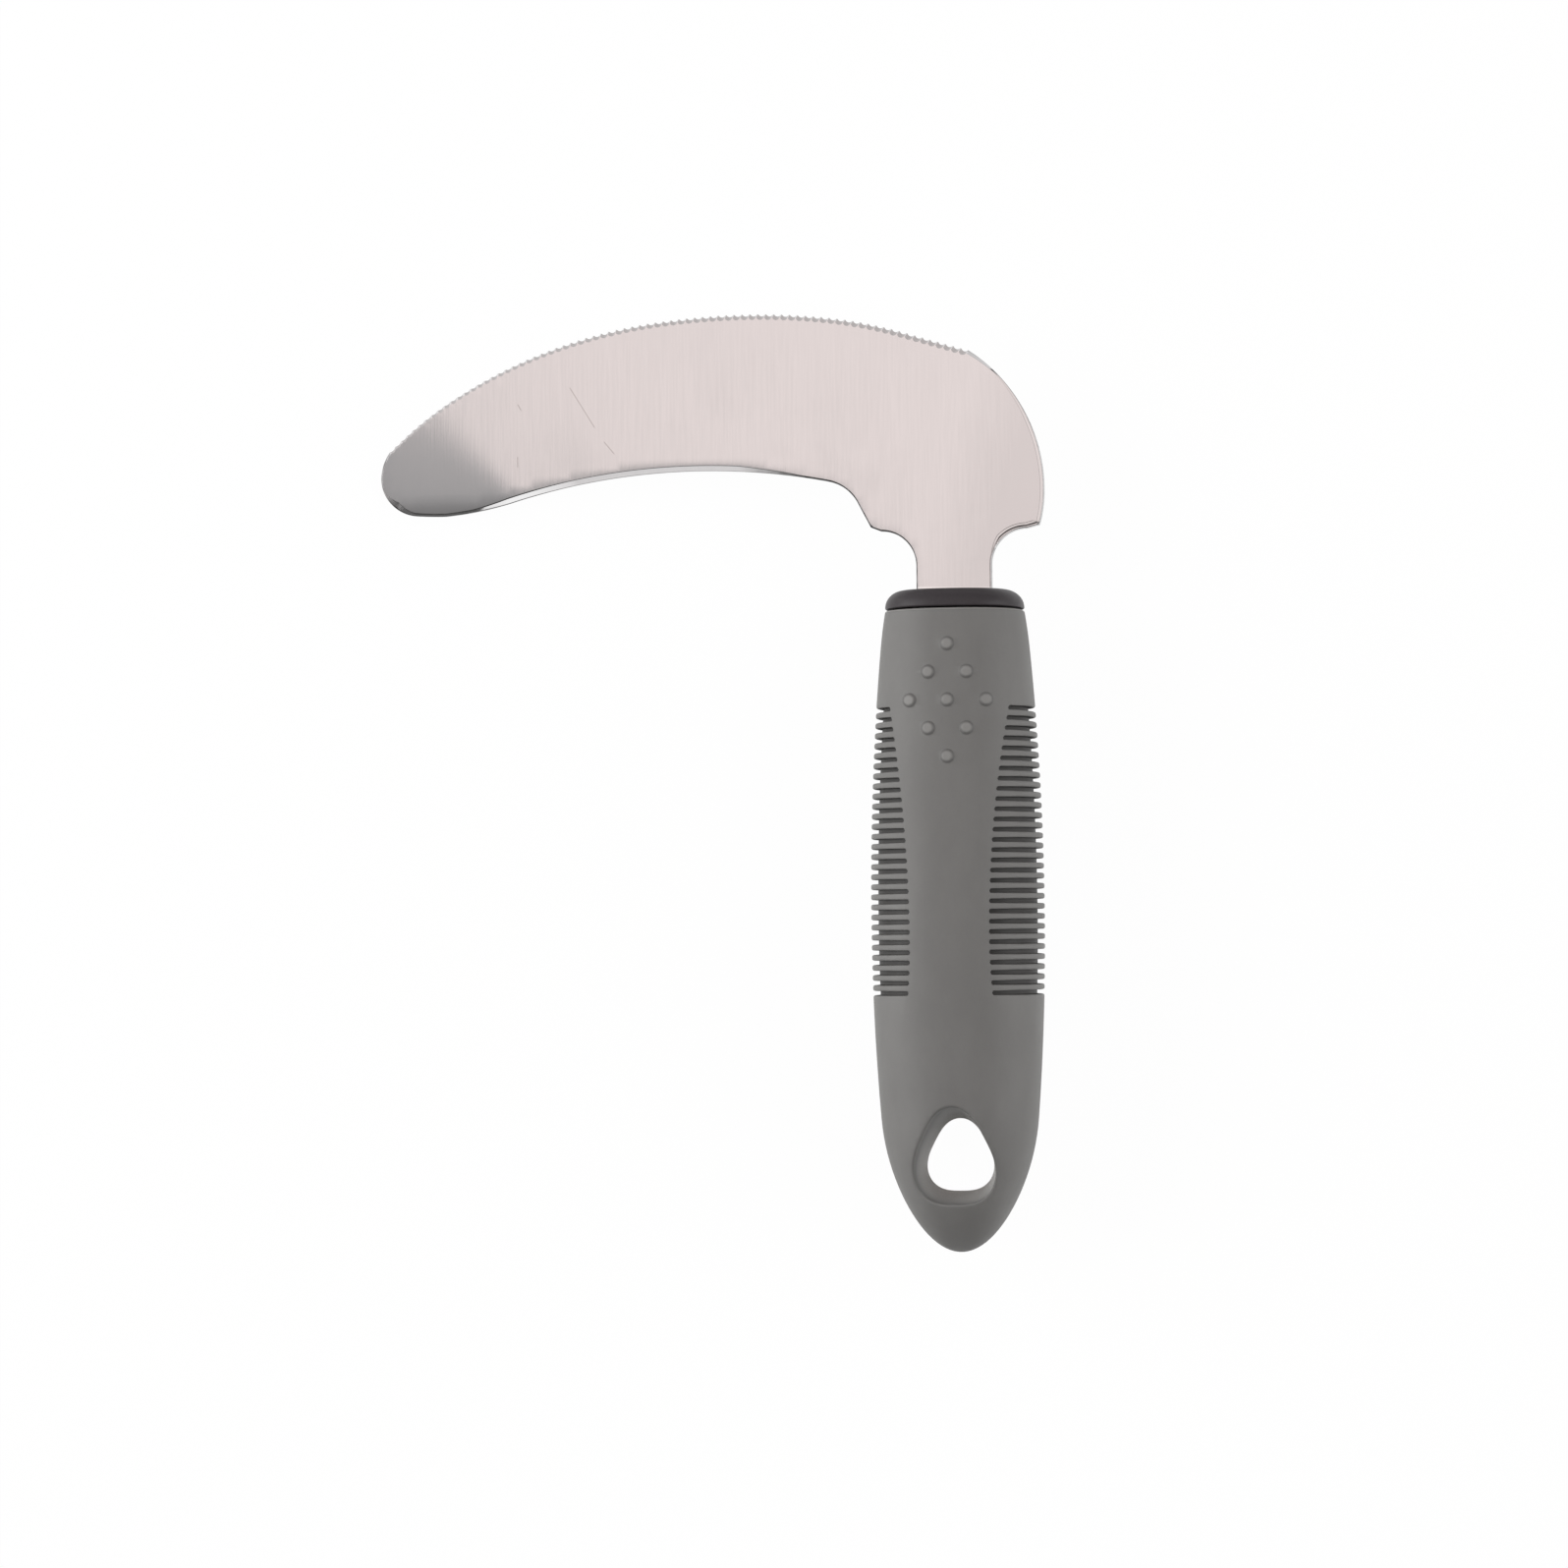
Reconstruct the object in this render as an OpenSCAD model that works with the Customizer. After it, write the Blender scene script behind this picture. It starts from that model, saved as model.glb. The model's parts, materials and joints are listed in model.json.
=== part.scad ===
// Adaptive table knife with the blade set across a built-up, ribbed soft grip.
// Modelled along its handle axis: x across, y from the tail to the head, z out of
// the front face. The finished knife is then laid down as it comes to rest, on the
// belly of the grip and the nose of the blade.

/* [Overall] */
// Length from the tail of the grip to the crown of the cutting edge
overall_l = 170; // [150:1:200]
// Distance from the handle axis to the nose of the blade
blade_reach = 105.5; // [92:0.5:120]

/* [Blade] */
// Thickness of the steel
blade_t = 2; // [1.4:0.1:3]
// Depth of the blade from the corner beside the notches to the crown
blade_depth = 39.5; // [36:0.5:44]
// Distance from the handle axis to the rounded heel
heel_reach = 16.4; // [15:0.2:19]
// Width of the neck between the notches
neck_w = 13.6; // [11:0.2:16]
// Radius of the notches on both sides of the neck
notch_r = 6.4; // [4:0.2:7]
// Radius of the nose
nose_r = 6.9; // [5.5:0.1:8.5]
// Width of the rounded-over edge band on the front and back faces
edge_band = 0.6; // [0.2:0.05:0.9]
// Height of the rounded-over edge band
edge_drop = 0.5; // [0.2:0.05:0.6]

/* [Serration] */
// Spacing of the teeth along the cutting edge
tooth_pitch = 1.45; // [1.3:0.05:3]
// Depth of the scallop between two teeth
tooth_depth = 0.45; // [0.2:0.05:0.6]
// Flat left at the tip of a tooth
tooth_flat = 0.12; // [0.08:0.02:0.4]
// Width of the ground bevel at the tops of the teeth
grind_w = 0.75; // [0.4:0.05:1.2]
// Flat left on the back at the cutting edge
edge_land = 0.15; // [0.1:0.05:0.3]
// Length over which the grind runs out along the heel
runout_l = 6.5; // [3:0.5:10]

/* [Tang] */
// Width of the tang inside the core
tang_w = 10.5; // [8:0.5:12]
// Length of the tang below the seam
tang_l = 56; // [30:1:66]
// Diameter of the anchor holes in the tang
anchor_d = 4; // [2.5:0.5:5]
// Depth of the first anchor hole below the seam
anchor_y = 16; // [10:1:20]
// Spacing of the anchor holes
anchor_pitch = 22; // [14:1:28]

/* [Core] */
// Height of the collar above the seam
collar_h = 4; // [3:0.1:6]
// Width of the collar at the seam
collar_w = 24.9; // [23:0.1:27]
// Radius of the collar's shoulder
shoulder_r = 3.2; // [2:0.1:3.6]
// Rise of the domed top of the collar
dome_h = 0.35; // [0.1:0.05:0.6]
// Width of the shank inside the grip
shank_w = 17; // [14:0.5:19]
// Thickness of the shank inside the grip
shank_t = 12; // [8:0.5:15]
// Length of the shank below the seam
shank_l = 78; // [70:1:84]

/* [Grip] */
// Length of the grip from the tail to the seam
grip_l = 115.2; // [108:0.1:124]
// Greatest width of the grip
grip_w = 31; // [28:0.5:36]
// Greatest thickness of the grip from front to back
grip_t = 30; // [26:0.5:34]
// Distance from the tail to the widest section
swell_y = 61; // [54:1:68]
// Radius of the side between the widest section and the head
head_side_r = 520; // [420:10:800]
// Radius of the side between the widest section and the tail
tail_side_r = 473; // [400:10:800]
// Length of the rounded tail
tail_cap_l = 24; // [18:1:30]
// Length of the turn-in under the collar
turn_in_l = 7; // [4:0.5:9]
// Squareness of the section, where 2 is an ellipse
squareness = 2.4; // [2:0.1:3]

/* [Grooves] */
// Number of grooves on each side
groove_n = 29; // [12:1:32]
// Distance from the tail to the lowest groove
groove_y = 46.6; // [43:0.1:52]
// Spacing of the grooves
groove_pitch = 1.81; // [1.6:0.02:1.86]
// Width of a groove at its mouth
groove_w = 0.85; // [0.5:0.05:1.2]
// Width of a groove at its floor
groove_floor_w = 0.6; // [0.3:0.05:0.8]
// Depth of the grooves
groove_d = 1.4; // [0.6:0.1:2]
// Half width of the smooth panel at its waist
panel_w = 7.05; // [5:0.05:9]
// Distance from the tail to the waist of the smooth panel
panel_y = 56; // [50:1:62]
// Radius of the panel's edge from the waist towards the head
panel_head_r = 240; // [180:10:400]
// Radius of the panel's edge from the waist towards the tail
panel_tail_r = 105; // [80:5:200]

/* [Thumb bumps] */
// Diameter of a bump
bump_d = 2.4; // [1.6:0.1:3]
// Height of a bump
bump_h = 0.5; // [0.2:0.05:0.8]
// Half the spacing of the bumps across the grip
bump_dx = 3.42; // [2.8:0.02:3.8]
// Spacing of the rows of bumps
bump_dy = 5.02; // [3.4:0.02:5.4]
// Distance from the tail to the middle row of bumps
bump_y = 98.7; // [96:0.1:102]

/* [Hang hole] */
// Width of the hole at its waist, halfway through
hole_w = 12.1; // [9:0.1:13]
// Length of the hole at its waist
hole_l = 13; // [10:0.1:14]
// Distance from the tail to the middle of the hole
hole_y = 16.9; // [16:0.1:19]
// Width of the hole at its mouths
mouth_w = 14.7; // [13.2:0.1:15.5]
// Length of the hole at its mouths
mouth_l = 17.4; // [14.5:0.1:18]
// Height above the waist at which the hollow walls have turned upright
bowl_h = 6.5; // [4:0.1:8]
// Roundness of the triangle, from 0 for an oval to 0.1 for a firm triangle
hole_tri = 0.09; // [0:0.01:0.1]

/* [Rest] */
// Slope of the handle towards the head when the knife lies at rest
head_drop = 1.6; // [1:0.1:3]

/* [Hidden] */

steel_colour = [0.86, 0.82, 0.82];
core_colour = [0.2, 0.19, 0.2];
grip_colour = [0.42, 0.42, 0.41];

crown_y = overall_l;
corner_y = crown_y - blade_depth;
tang_end_y = grip_l - tang_l;
groove_top_y = groove_y + (groove_n - 1) * groove_pitch;

// Segments of a handle section: across a smooth panel, and round a side
panel_seg = 5;
side_seg = 10;
// Points round the core
core_seg = 32;
// Points round the hang hole
hole_seg = 36;
// Angle step of the arcs in the blade's outline
arc_step = 12;

// Sums and small vector helpers

function clamp(v, lo, hi) = max(lo, min(hi, v));
function mix(a, b, t) = a + (b - a) * t;
function unit(v) = v / norm(v);
function left_of(v) = [-v[1], v[0]];

// Points of the arc from p to q, p left out, in n steps. A positive radius bulges
// to the right of the way from p to q, a negative one to the left.
function arc_to(p, q, r, n) =
    let(chord = q - p, half = norm(chord) / 2, rr = max(abs(r), half * 1.001),
        side = r > 0 ? 1 : -1,
        c = (p + q) / 2 + left_of(unit(chord)) * side * sqrt(rr * rr - half * half),
        a = 2 * asin(half / rr) * side,
        a0 = atan2(p[1] - c[1], p[0] - c[0]))
    [for (i = [1:n]) c + rr * [cos(a0 + a * i / n), sin(a0 + a * i / n)]];

function arc_len(p, q, r) =
    let(half = norm(q - p) / 2, rr = max(abs(r), half * 1.001))
    rr * 2 * asin(half / rr) * PI / 180;

function arc_n(p, q, r) =
    let(half = norm(q - p) / 2, rr = max(abs(r), half * 1.001))
    max(2, ceil(2 * asin(half / rr) / arc_step));

function smooth_to(p, q, r) = arc_to(p, q, r, arc_n(p, q, r));

function reversed(v) = [for (i = [len(v) - 1:-1:0]) v[i]];

// One solid through a stack of rings with the same number of points. The end faces are
// convex, or else given as triangles of point numbers round a ring.
module loft(rings, end_faces = []) {
    n = len(rings[0]);
    m = len(rings);
    points = [for (ring = rings) for (p = ring) p];
    walls = [for (j = [0:m - 2]) for (i = [0:n - 1])
        let(a = j * n + i, b = j * n + (i + 1) % n)
        each [[a, b + n, b], [a, a + n, b + n]]];
    first = end_faces == [] ? [[for (i = [0:n - 1]) i]] : end_faces;
    last = [for (f = first) [for (i = reversed(f)) (m - 1) * n + i]];
    polyhedron(points, concat(walls, first, last), convexity = 10);
}

// Triangles between two chains of point numbers that run along both sides of a strip
function zip(points, a, b, i = 0, j = 0) =
    i == len(a) - 1 && j == len(b) - 1 ? [] :
    j == len(b) - 1 || (i < len(a) - 1
        && norm(points[a[i + 1]] - points[b[j]]) < norm(points[a[i]] - points[b[j + 1]])) ?
        concat([[a[i], a[i + 1], b[j]]], zip(points, a, b, i + 1, j)) :
        concat([[a[i], b[j + 1], b[j]]], zip(points, a, b, i, j + 1));

// Blade outline, taken round with the steel on its left

// A point given by its share of the blade's reach and of its depth below the crown
function on_blade(u, v) = [-u * blade_reach, crown_y - v * blade_depth];

// Steps and radii of the outline that are read off the photo
heel_top_x = 2.9;
heel_top_v = 0.193;
heel_rise = 6.1;
heel_tuck = 0.9;
heel_foot_r = 22;
heel_r = 30.4;
notch_step = 0.6;
nose_tip_r = 11;
nose_turn = [0.913, -0.996];
nose_flat = [5.7, -0.2];
nose_flat_r = 60;
spine_hip_r = 63;
spine_hollow_r = 120;
spine_shoulder_r = 8;
shoulder_run = [-5.8, 4.6];
shoulder_drop = [-2.1, 4];
foot_run = [-1.8, 0.1];

notch_top_y = corner_y - notch_step;
notch_foot_y = notch_top_y - notch_r;
notch_x = neck_w / 2 + notch_r;
tang_top_y = grip_l + collar_h / 4;
tang_bevel = 2;
tang_step = 1;

heel_top = [heel_top_x, crown_y - heel_top_v * blade_depth];
heel_side = [heel_reach, corner_y + heel_rise];
heel_foot = [heel_reach - heel_tuck, corner_y];
crown = on_blade(0.359, 0);
nose_top = on_blade(0.986, 0.599);
nose_side = on_blade(1, 0.7225);
nose_foot = nose_side + nose_r * nose_turn;
spine_start = nose_foot + nose_flat;
spine_rise = on_blade(0.774, 0.848);
inner_foot = [-notch_x, corner_y] + foot_run;
inner_turn = inner_foot + shoulder_drop;
spine_end = inner_turn + shoulder_run;

// The cutting edge as [end point, radius] pairs, with 0 for a straight length
edge_runs = [
    [on_blade(0.087, 0.0996), 0],
    [on_blade(0.1925, 0.034), 80],
    [crown, 115],
    [on_blade(0.5346, 0.0315), 137],
    [on_blade(0.864, 0.344), 92],
    [nose_top, 67]];

// Tips of the teeth along the cutting edge, the first point left out
function tooth_tips(from, runs, k = 0) = k == len(runs) ? [] :
    let(to = runs[k][0], r = runs[k][1],
        run_l = r == 0 ? norm(to - from) : arc_len(from, to, r),
        n = max(1, round(run_l / tooth_pitch)))
    concat(r == 0 ? [for (i = [1:n]) mix(from, to, i / n)] : arc_to(from, to, r, n),
        tooth_tips(to, runs, k + 1));

function notch(from, to) = concat([from], arc_to(from, to, -notch_r, 8));

heel_points = concat(
    notch([neck_w / 2, notch_foot_y], [notch_x, notch_top_y]),
    [heel_foot], smooth_to(heel_foot, heel_side, heel_foot_r),
    arc_to(heel_side, heel_top, heel_r, 14));
teeth = tooth_tips(heel_top, edge_runs);
spine_points = concat(
    smooth_to(nose_top, nose_side, nose_tip_r), smooth_to(nose_side, nose_foot, nose_r),
    smooth_to(nose_foot, spine_start, nose_flat_r),
    smooth_to(spine_start, spine_rise, spine_hip_r),
    arc_to(spine_rise, spine_end, -spine_hollow_r, 10),
    arc_to(spine_end, inner_turn, -spine_shoulder_r, 5),
    [inner_foot], notch([-notch_x, notch_top_y], [-neck_w / 2, notch_foot_y]));
tang_points = [
    [-neck_w / 2, tang_top_y], [-tang_w / 2, tang_top_y - tang_step],
    [-tang_w / 2, tang_end_y + tang_bevel], [tang_bevel - tang_w / 2, tang_end_y],
    [tang_w / 2 - tang_bevel, tang_end_y], [tang_w / 2, tang_end_y + tang_bevel],
    [tang_w / 2, tang_top_y - tang_step], [neck_w / 2, tang_top_y]];
outline = concat(heel_points, teeth, spine_points, tang_points);
outline_n = len(outline);

// The plate's faces: a strip between its outer side, from the tang's foot over the heel
// and the cutting edge, and its inner side, from the tang's foot along the spine
edge_end = len(heel_points) + len(teeth) - 1;
tang_start = outline_n - len(tang_points);
outer_side = concat([for (i = [tang_start + 4:outline_n - 1]) i], [for (i = [0:edge_end]) i]);
inner_side = [for (i = [tang_start + 3:-1:edge_end + 1]) i];
plate_faces = zip(outline, outer_side, inner_side);

// How far a point of the outline is ground: 1 on the cutting edge, fading on the heel
function ground(i) =
    i < len(heel_points) ? clamp(1 - norm(outline[i] - heel_top) / runout_l, 0, 1) :
    i <= edge_end ? 1 : 0;

function outward(i) =
    let(d = outline[(i + 1) % outline_n] - outline[(i + outline_n - 1) % outline_n])
    -left_of(unit(d));

// One ring of the plate: the outline drawn in by the band's width at a face, or full
// width at the band's height below that face. The face is 1 in front and -1 behind.
function plate_ring(face, at_face) = [for (i = [0:outline_n - 1])
    let(g = ground(i),
        band = face > 0 ? mix(edge_band, grind_w, g) : mix(edge_band, edge_land, g),
        drop = face > 0 ? mix(edge_drop, blade_t - 2 * edge_land, g) :
            mix(edge_drop, edge_land, g),
        p = at_face ? outline[i] - band * outward(i) : outline[i])
    [p[0], p[1], face * (blade_t / 2 - (at_face ? 0 : drop))]];

// A scallop between two teeth, cut along the slope of the ground bevel
module scallop(p, q) {
    half = (norm(q - p) - tooth_flat) / 2;
    r = (half * half + tooth_depth * tooth_depth) / (2 * tooth_depth);
    n = -left_of(unit(q - p));
    mid = (p + q) / 2;
    tilt = atan(grind_w / (blade_t - 2 * edge_land));
    translate([mid[0], mid[1], edge_land]) rotate([0, 0, atan2(n[1], n[0])])
        translate([-grind_w / 2, 0, 0]) rotate([0, -tilt, 0]) translate([r - tooth_depth, 0, 0])
            cylinder(r = r, h = 3 * blade_t, center = true, $fn = 32);
}

module blade_steel() {
    edge = concat([heel_top], teeth);
    difference() {
        loft([plate_ring(-1, true), plate_ring(-1, false),
            plate_ring(1, false), plate_ring(1, true)], plate_faces);
        for (i = [0:len(edge) - 2]) scallop(edge[i], edge[i + 1]);
        for (k = [0:1])
            translate([0, grip_l - anchor_y - k * anchor_pitch, 0])
                cylinder(d = anchor_d, h = 2 * blade_t, center = true, $fn = 48);
    }
}

// Handle: half width and half thickness at a distance y from the tail

function side_bow(y) = grip_w / 2
    - (y - swell_y) * (y - swell_y) / (2 * (y > swell_y ? head_side_r : tail_side_r));
function tail_cap(y) = y < tail_cap_l ? sqrt(1 - pow(1 - y / tail_cap_l, 2)) : 1;
function turn_in(y) = (side_bow(grip_l) - collar_w / 2)
    * pow(clamp((y - grip_l + turn_in_l) / turn_in_l, 0, 1), 2);
function half_w(y) = (side_bow(y) - turn_in(y)) * tail_cap(y);
function half_t(y) = half_w(y) * grip_t / grip_w;
function front_z(x, y) =
    half_t(y) * pow(1 - pow(abs(x) / half_w(y), squareness), 1 / squareness);

// Half width of the smooth panel between the two rows of grooves
function panel_half(y) = min(0.8 * half_w(y), panel_w
    + pow(y - panel_y, 2) / (2 * (y > panel_y ? panel_head_r : panel_tail_r)));

function power(v) = sign(v) * pow(abs(v), 2 / squareness);
function section_point(a, b, y, t) = [a * power(cos(t)), y, b * power(sin(t))];

// Shares of a side's turn at which it has points, close together at a groove's ends
side_shares = concat([0.03], [for (i = [1:side_seg - 3]) i / (side_seg - 2)], [0.97]);

// Points round the handle at y, with its sides sunk by d between the smooth panels
function section(y, d) =
    let(a = half_w(y), b = half_t(y), t = acos(pow(panel_half(y) / a, squareness / 2)))
    [for (turn = [0, -180]) each concat(
        [for (i = [0:panel_seg]) section_point(a, b, y, turn + mix(180 - t, t, i / panel_seg))],
        [for (s = side_shares) section_point(a - d, b - d, y, turn + mix(t, -t, s))])];

tail_steps = [6, 16, 26, 36, 46, 56, 66, 78, 90];
skin_rings = concat(
    [for (t = tail_steps) section(tail_cap_l * (1 - cos(t)), 0)],
    [for (i = [1:2]) section(mix(tail_cap_l, groove_y - groove_w, i / 2), 0)],
    [for (k = [0:groove_n - 1]) let(y = groove_y + k * groove_pitch) each [
        section(y - groove_w / 2, 0), section(y - groove_floor_w / 2, groove_d),
        section(y + groove_floor_w / 2, groove_d), section(y + groove_w / 2, 0)]],
    [for (i = [1:6]) section(mix(groove_top_y + groove_w / 2, grip_l, i / 6), 0)]);

// Rounded triangle of the hang hole, pointing to the head. Its widest and its longest
// way across are w and l.
tri_spread = 2.07;
function hole_ring(w, l, z) = [for (i = [0:hole_seg - 1])
    let(t = 360 * i / hole_seg, r = 1 + hole_tri * cos(3 * (t - 90)))
    [w / tri_spread * r * cos(t), hole_y + l / 2 * r * sin(t), z]];

// The hang hole's tool: hollow walls that meet in a waist and stand upright at the mouths
hole_steps = [0, 0.2, 0.45, 1];
module hang_hole() {
    above = [for (t = hole_steps) let(s = 1 - (1 - t) * (1 - t))
        hole_ring(mix(hole_w, mouth_w, s), mix(hole_l, mouth_l, s), t * bowl_h)];
    top = hole_ring(mouth_w, mouth_l, grip_t / 2 + 1);
    low = [for (k = [len(hole_steps) - 1:-1:1]) [for (p = above[k]) [p[0], p[1], -p[2]]]];
    loft(concat([[for (p = top) [p[0], p[1], -p[2]]]], low, above, [top]));
}

// The core's shank, which the grip is moulded round
module shank() {
    ring = [for (i = [0:core_seg - 1]) let(t = 360 * i / core_seg)
        [shank_w / 2 * sign(cos(t)) * sqrt(abs(cos(t))),
            shank_t / 2 * sign(sin(t)) * sqrt(abs(sin(t)))]];
    translate([0, grip_l + collar_h / 2, 0]) rotate([90, 0, 0])
        linear_extrude(height = shank_l + collar_h / 2) polygon(ring);
}

function collar_ring(w, y) =
    [for (i = [0:core_seg - 1])
        section_point(w, w * grip_t / grip_w, y, -360 * i / core_seg)];

module collar() {
    shoulder_h = collar_h - dome_h;
    top_w = collar_w / 2 - shoulder_r;
    loft(concat(
        [for (t = [0, 20, 38, 54, 68, 80, 90])
            collar_ring(top_w + shoulder_r * cos(t), grip_l + shoulder_h * sin(t))],
        [for (s = [0.75, 0.4])
            collar_ring(top_w * s, grip_l + shoulder_h + dome_h * (1 - s * s))]));
}

module bumps() {
    r = (bump_d * bump_d / 4 + bump_h * bump_h) / (2 * bump_h);
    for (row = [-2:2], k = [0:2 - abs(row)], face = [-1, 1]) {
        x = (2 * k - 2 + abs(row)) * bump_dx;
        y = bump_y + row * bump_dy;
        if (y - bump_d < grip_l) translate([x, y, face * (front_z(x, y) + bump_h - r)])
            sphere(r = r, $fn = 32);
    }
}

// Rest: the roll at which the belly of the grip and the nose of the blade both touch

function lowest(points, roll) = min([for (p = points)
    (p[0] * sin(roll) + p[2] * cos(roll)) * cos(head_drop) - p[1] * sin(head_drop)]);
function rest_roll(lo = 0, hi = 30, n = 18) = n == 0 ? (lo + hi) / 2 :
    let(mid = (lo + hi) / 2)
    lowest(blade_low, mid) > lowest(grip_low, mid) ? rest_roll(mid, hi, n - 1) :
        rest_roll(lo, mid, n - 1);
function laid(p) =
    let(x = p[0] * cos(roll) - p[2] * sin(roll), z = p[0] * sin(roll) + p[2] * cos(roll))
    [x, p[1] * cos(head_drop) + z * sin(head_drop),
        z * cos(head_drop) - p[1] * sin(head_drop)];

blade_low = concat(plate_ring(-1, true), plate_ring(-1, false), plate_ring(1, false));
grip_low = [for (ring = skin_rings) each ring];
roll = rest_roll();
laid_points = [for (p = concat(blade_low, grip_low)) laid(p)];
laid_min = [for (k = [0:2]) min([for (p = laid_points) p[k]])];
laid_max = [for (k = [0:2]) max([for (p = laid_points) p[k]])];

module lay_down() {
    translate([-(laid_min[0] + laid_max[0]) / 2, -(laid_min[1] + laid_max[1]) / 2, -laid_min[2]])
        rotate([-head_drop, 0, 0]) rotate([0, -roll, 0]) children();
}

// Stainless blade with its neck and tang
module blade() {
    color(steel_colour) lay_down() blade_steel();
}

// Hard core: the dark collar and the shank, moulded round the tang
module core() {
    color(core_colour) lay_down() difference() {
        union() {
            collar();
            shank();
        }
        blade_steel();
    }
}

// Soft ribbed grip, moulded round the shank
module grip() {
    color(grip_colour) lay_down() difference() {
        union() {
            loft(skin_rings);
            bumps();
        }
        shank();
        hang_hole();
    }
}

blade();
core();
grip();
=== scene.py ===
import json
from math import asin, atan, atan2, cos, pi, radians, sin, sqrt

import bmesh
import bpy
import numpy as np
from mathutils import Matrix, Vector, geometry

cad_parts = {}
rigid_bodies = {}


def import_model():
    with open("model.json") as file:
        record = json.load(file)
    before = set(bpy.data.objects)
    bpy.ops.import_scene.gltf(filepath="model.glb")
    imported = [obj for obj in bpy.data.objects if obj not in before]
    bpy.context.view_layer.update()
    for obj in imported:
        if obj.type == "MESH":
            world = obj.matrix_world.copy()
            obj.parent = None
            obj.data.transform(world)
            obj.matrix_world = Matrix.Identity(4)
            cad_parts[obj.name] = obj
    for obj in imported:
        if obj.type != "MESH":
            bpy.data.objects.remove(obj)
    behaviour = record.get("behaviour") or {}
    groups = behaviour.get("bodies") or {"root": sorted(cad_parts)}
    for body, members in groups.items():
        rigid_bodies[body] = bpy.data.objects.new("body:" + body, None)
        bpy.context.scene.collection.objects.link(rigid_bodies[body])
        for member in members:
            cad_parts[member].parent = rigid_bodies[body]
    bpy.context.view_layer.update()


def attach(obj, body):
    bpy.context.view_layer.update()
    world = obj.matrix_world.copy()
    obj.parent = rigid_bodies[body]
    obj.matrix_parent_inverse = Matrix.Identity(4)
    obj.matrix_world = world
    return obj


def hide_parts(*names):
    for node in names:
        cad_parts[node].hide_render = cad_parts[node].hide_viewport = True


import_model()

# Pieces are modelled in millimetres along the handle: x across, y from the tail to the
# crown of the blade, z out of the front face. They are laid down as the CAD lies, last.
mm = 0.001
mergeLength = 1e-5
sliverLength = 2e-4
restPose = {"rollDeg": 6.592, "headDropDeg": 1.6, "axisAt": (44.2555, -84.9457, 16.9996)}

# Small helpers


def smoothStep(low, high, value):
    t = np.clip((value - low) / (high - low), 0, 1)
    return t * t * (3 - 2 * t)


def laidDown(points):
    roll = radians(restPose["rollDeg"])
    drop = radians(restPose["headDropDeg"])
    x = points[:, 0] * cos(roll) - points[:, 2] * sin(roll)
    z = points[:, 0] * sin(roll) + points[:, 2] * cos(roll)
    y = points[:, 1] * cos(drop) + z * sin(drop)
    z = z * cos(drop) - points[:, 1] * sin(drop)
    return (ringAt(x, y, z) + restPose["axisAt"]) * mm


def inScene(name, data):
    obj = bpy.data.objects.new(name, data)
    bpy.context.scene.collection.objects.link(obj)
    return obj


def newObject(name, points, faces):
    mesh = bpy.data.meshes.new(name)
    mesh.from_pydata([tuple(p) for p in points], [], faces)
    mesh.validate()
    return inScene(name, mesh)


def outwardFaces(obj):
    shape = bmesh.new()
    shape.from_mesh(obj.data)
    bmesh.ops.remove_doubles(shape, verts=shape.verts, dist=mergeLength)
    bmesh.ops.recalc_face_normals(shape, faces=shape.faces)
    shape.to_mesh(obj.data)
    shape.free()


def storeValues(obj, name, values):
    data = obj.data.attributes.new(name, "FLOAT", "POINT").data
    data.foreach_set("value", np.asarray(values, np.float32))


def fullTurn(count):
    return np.arange(count) * 2 * pi / count


def ringAt(x, y, z):
    return np.stack(np.broadcast_arrays(x, y, z), axis=1)


def ringWalls(ringCount, pointCount):
    return [(j * pointCount + i, (j + 1) * pointCount + i,
             (j + 1) * pointCount + (i + 1) % pointCount, j * pointCount + (i + 1) % pointCount)
            for j in range(ringCount - 1) for i in range(pointCount)]


def closedLoft(name, rings, firstPole, lastPole):
    count = len(rings[0])
    points = np.concatenate([*rings, [firstPole, lastPole]])
    faces = ringWalls(len(rings), count)
    start = (len(rings) - 1) * count
    first, last = len(points) - 2, len(points) - 1
    for i in range(count):
        j = (i + 1) % count
        faces.append((first, i, j))
        faces.append((last, start + j, start + i))
    return newObject(name, points, faces)


def dropObject(obj):
    bpy.data.batch_remove([obj, obj.data])


# Node helpers, for the shape trees and the materials alike


class Wire:
    # One output of a node. Sums of wires become nodes, and [] takes another of its outputs.

    def __init__(self, node, output=0):
        self.node = node
        self.socket = node.outputs[output]

    def __getitem__(self, output):
        return Wire(self.node, output)

    def __add__(self, other):
        return calc("ADD", self, other)

    def __sub__(self, other):
        return calc("SUBTRACT", self, other)

    def __rsub__(self, other):
        return calc("SUBTRACT", other, self)

    def __mul__(self, other):
        return calc("MULTIPLY", self, other)

    def __truediv__(self, other):
        return calc("DIVIDE", self, other)

    def __rtruediv__(self, other):
        return calc("DIVIDE", other, self)


def feed(socket, value):
    for part in value if isinstance(value, list) else [value]:
        if isinstance(part, Wire):
            socket.id_data.links.new(part.socket, socket)
        else:
            socket.default_value = part


def addNode(tree, kind, settings=None, **inputs):
    node = tree.nodes.new(kind)
    for key, value in (settings or {}).items():
        setattr(node, key, value)
    for name, value in inputs.items():
        if value is not None:
            feed(node.inputs[name.replace("_", " ")], value)
    return Wire(node)


def shapeNode(tree, kind, settings=None, **inputs):
    return addNode(tree, "GeometryNode" + kind, settings, **inputs)


def calc(operation, *values, kind="Math"):
    tree = next(value.socket.id_data for value in values if isinstance(value, Wire))
    node = tree.nodes.new("ShaderNode" + kind)
    node.operation = operation
    for socket, value in zip(node.inputs, values):
        feed(socket, value)
    return Wire(node)


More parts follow.
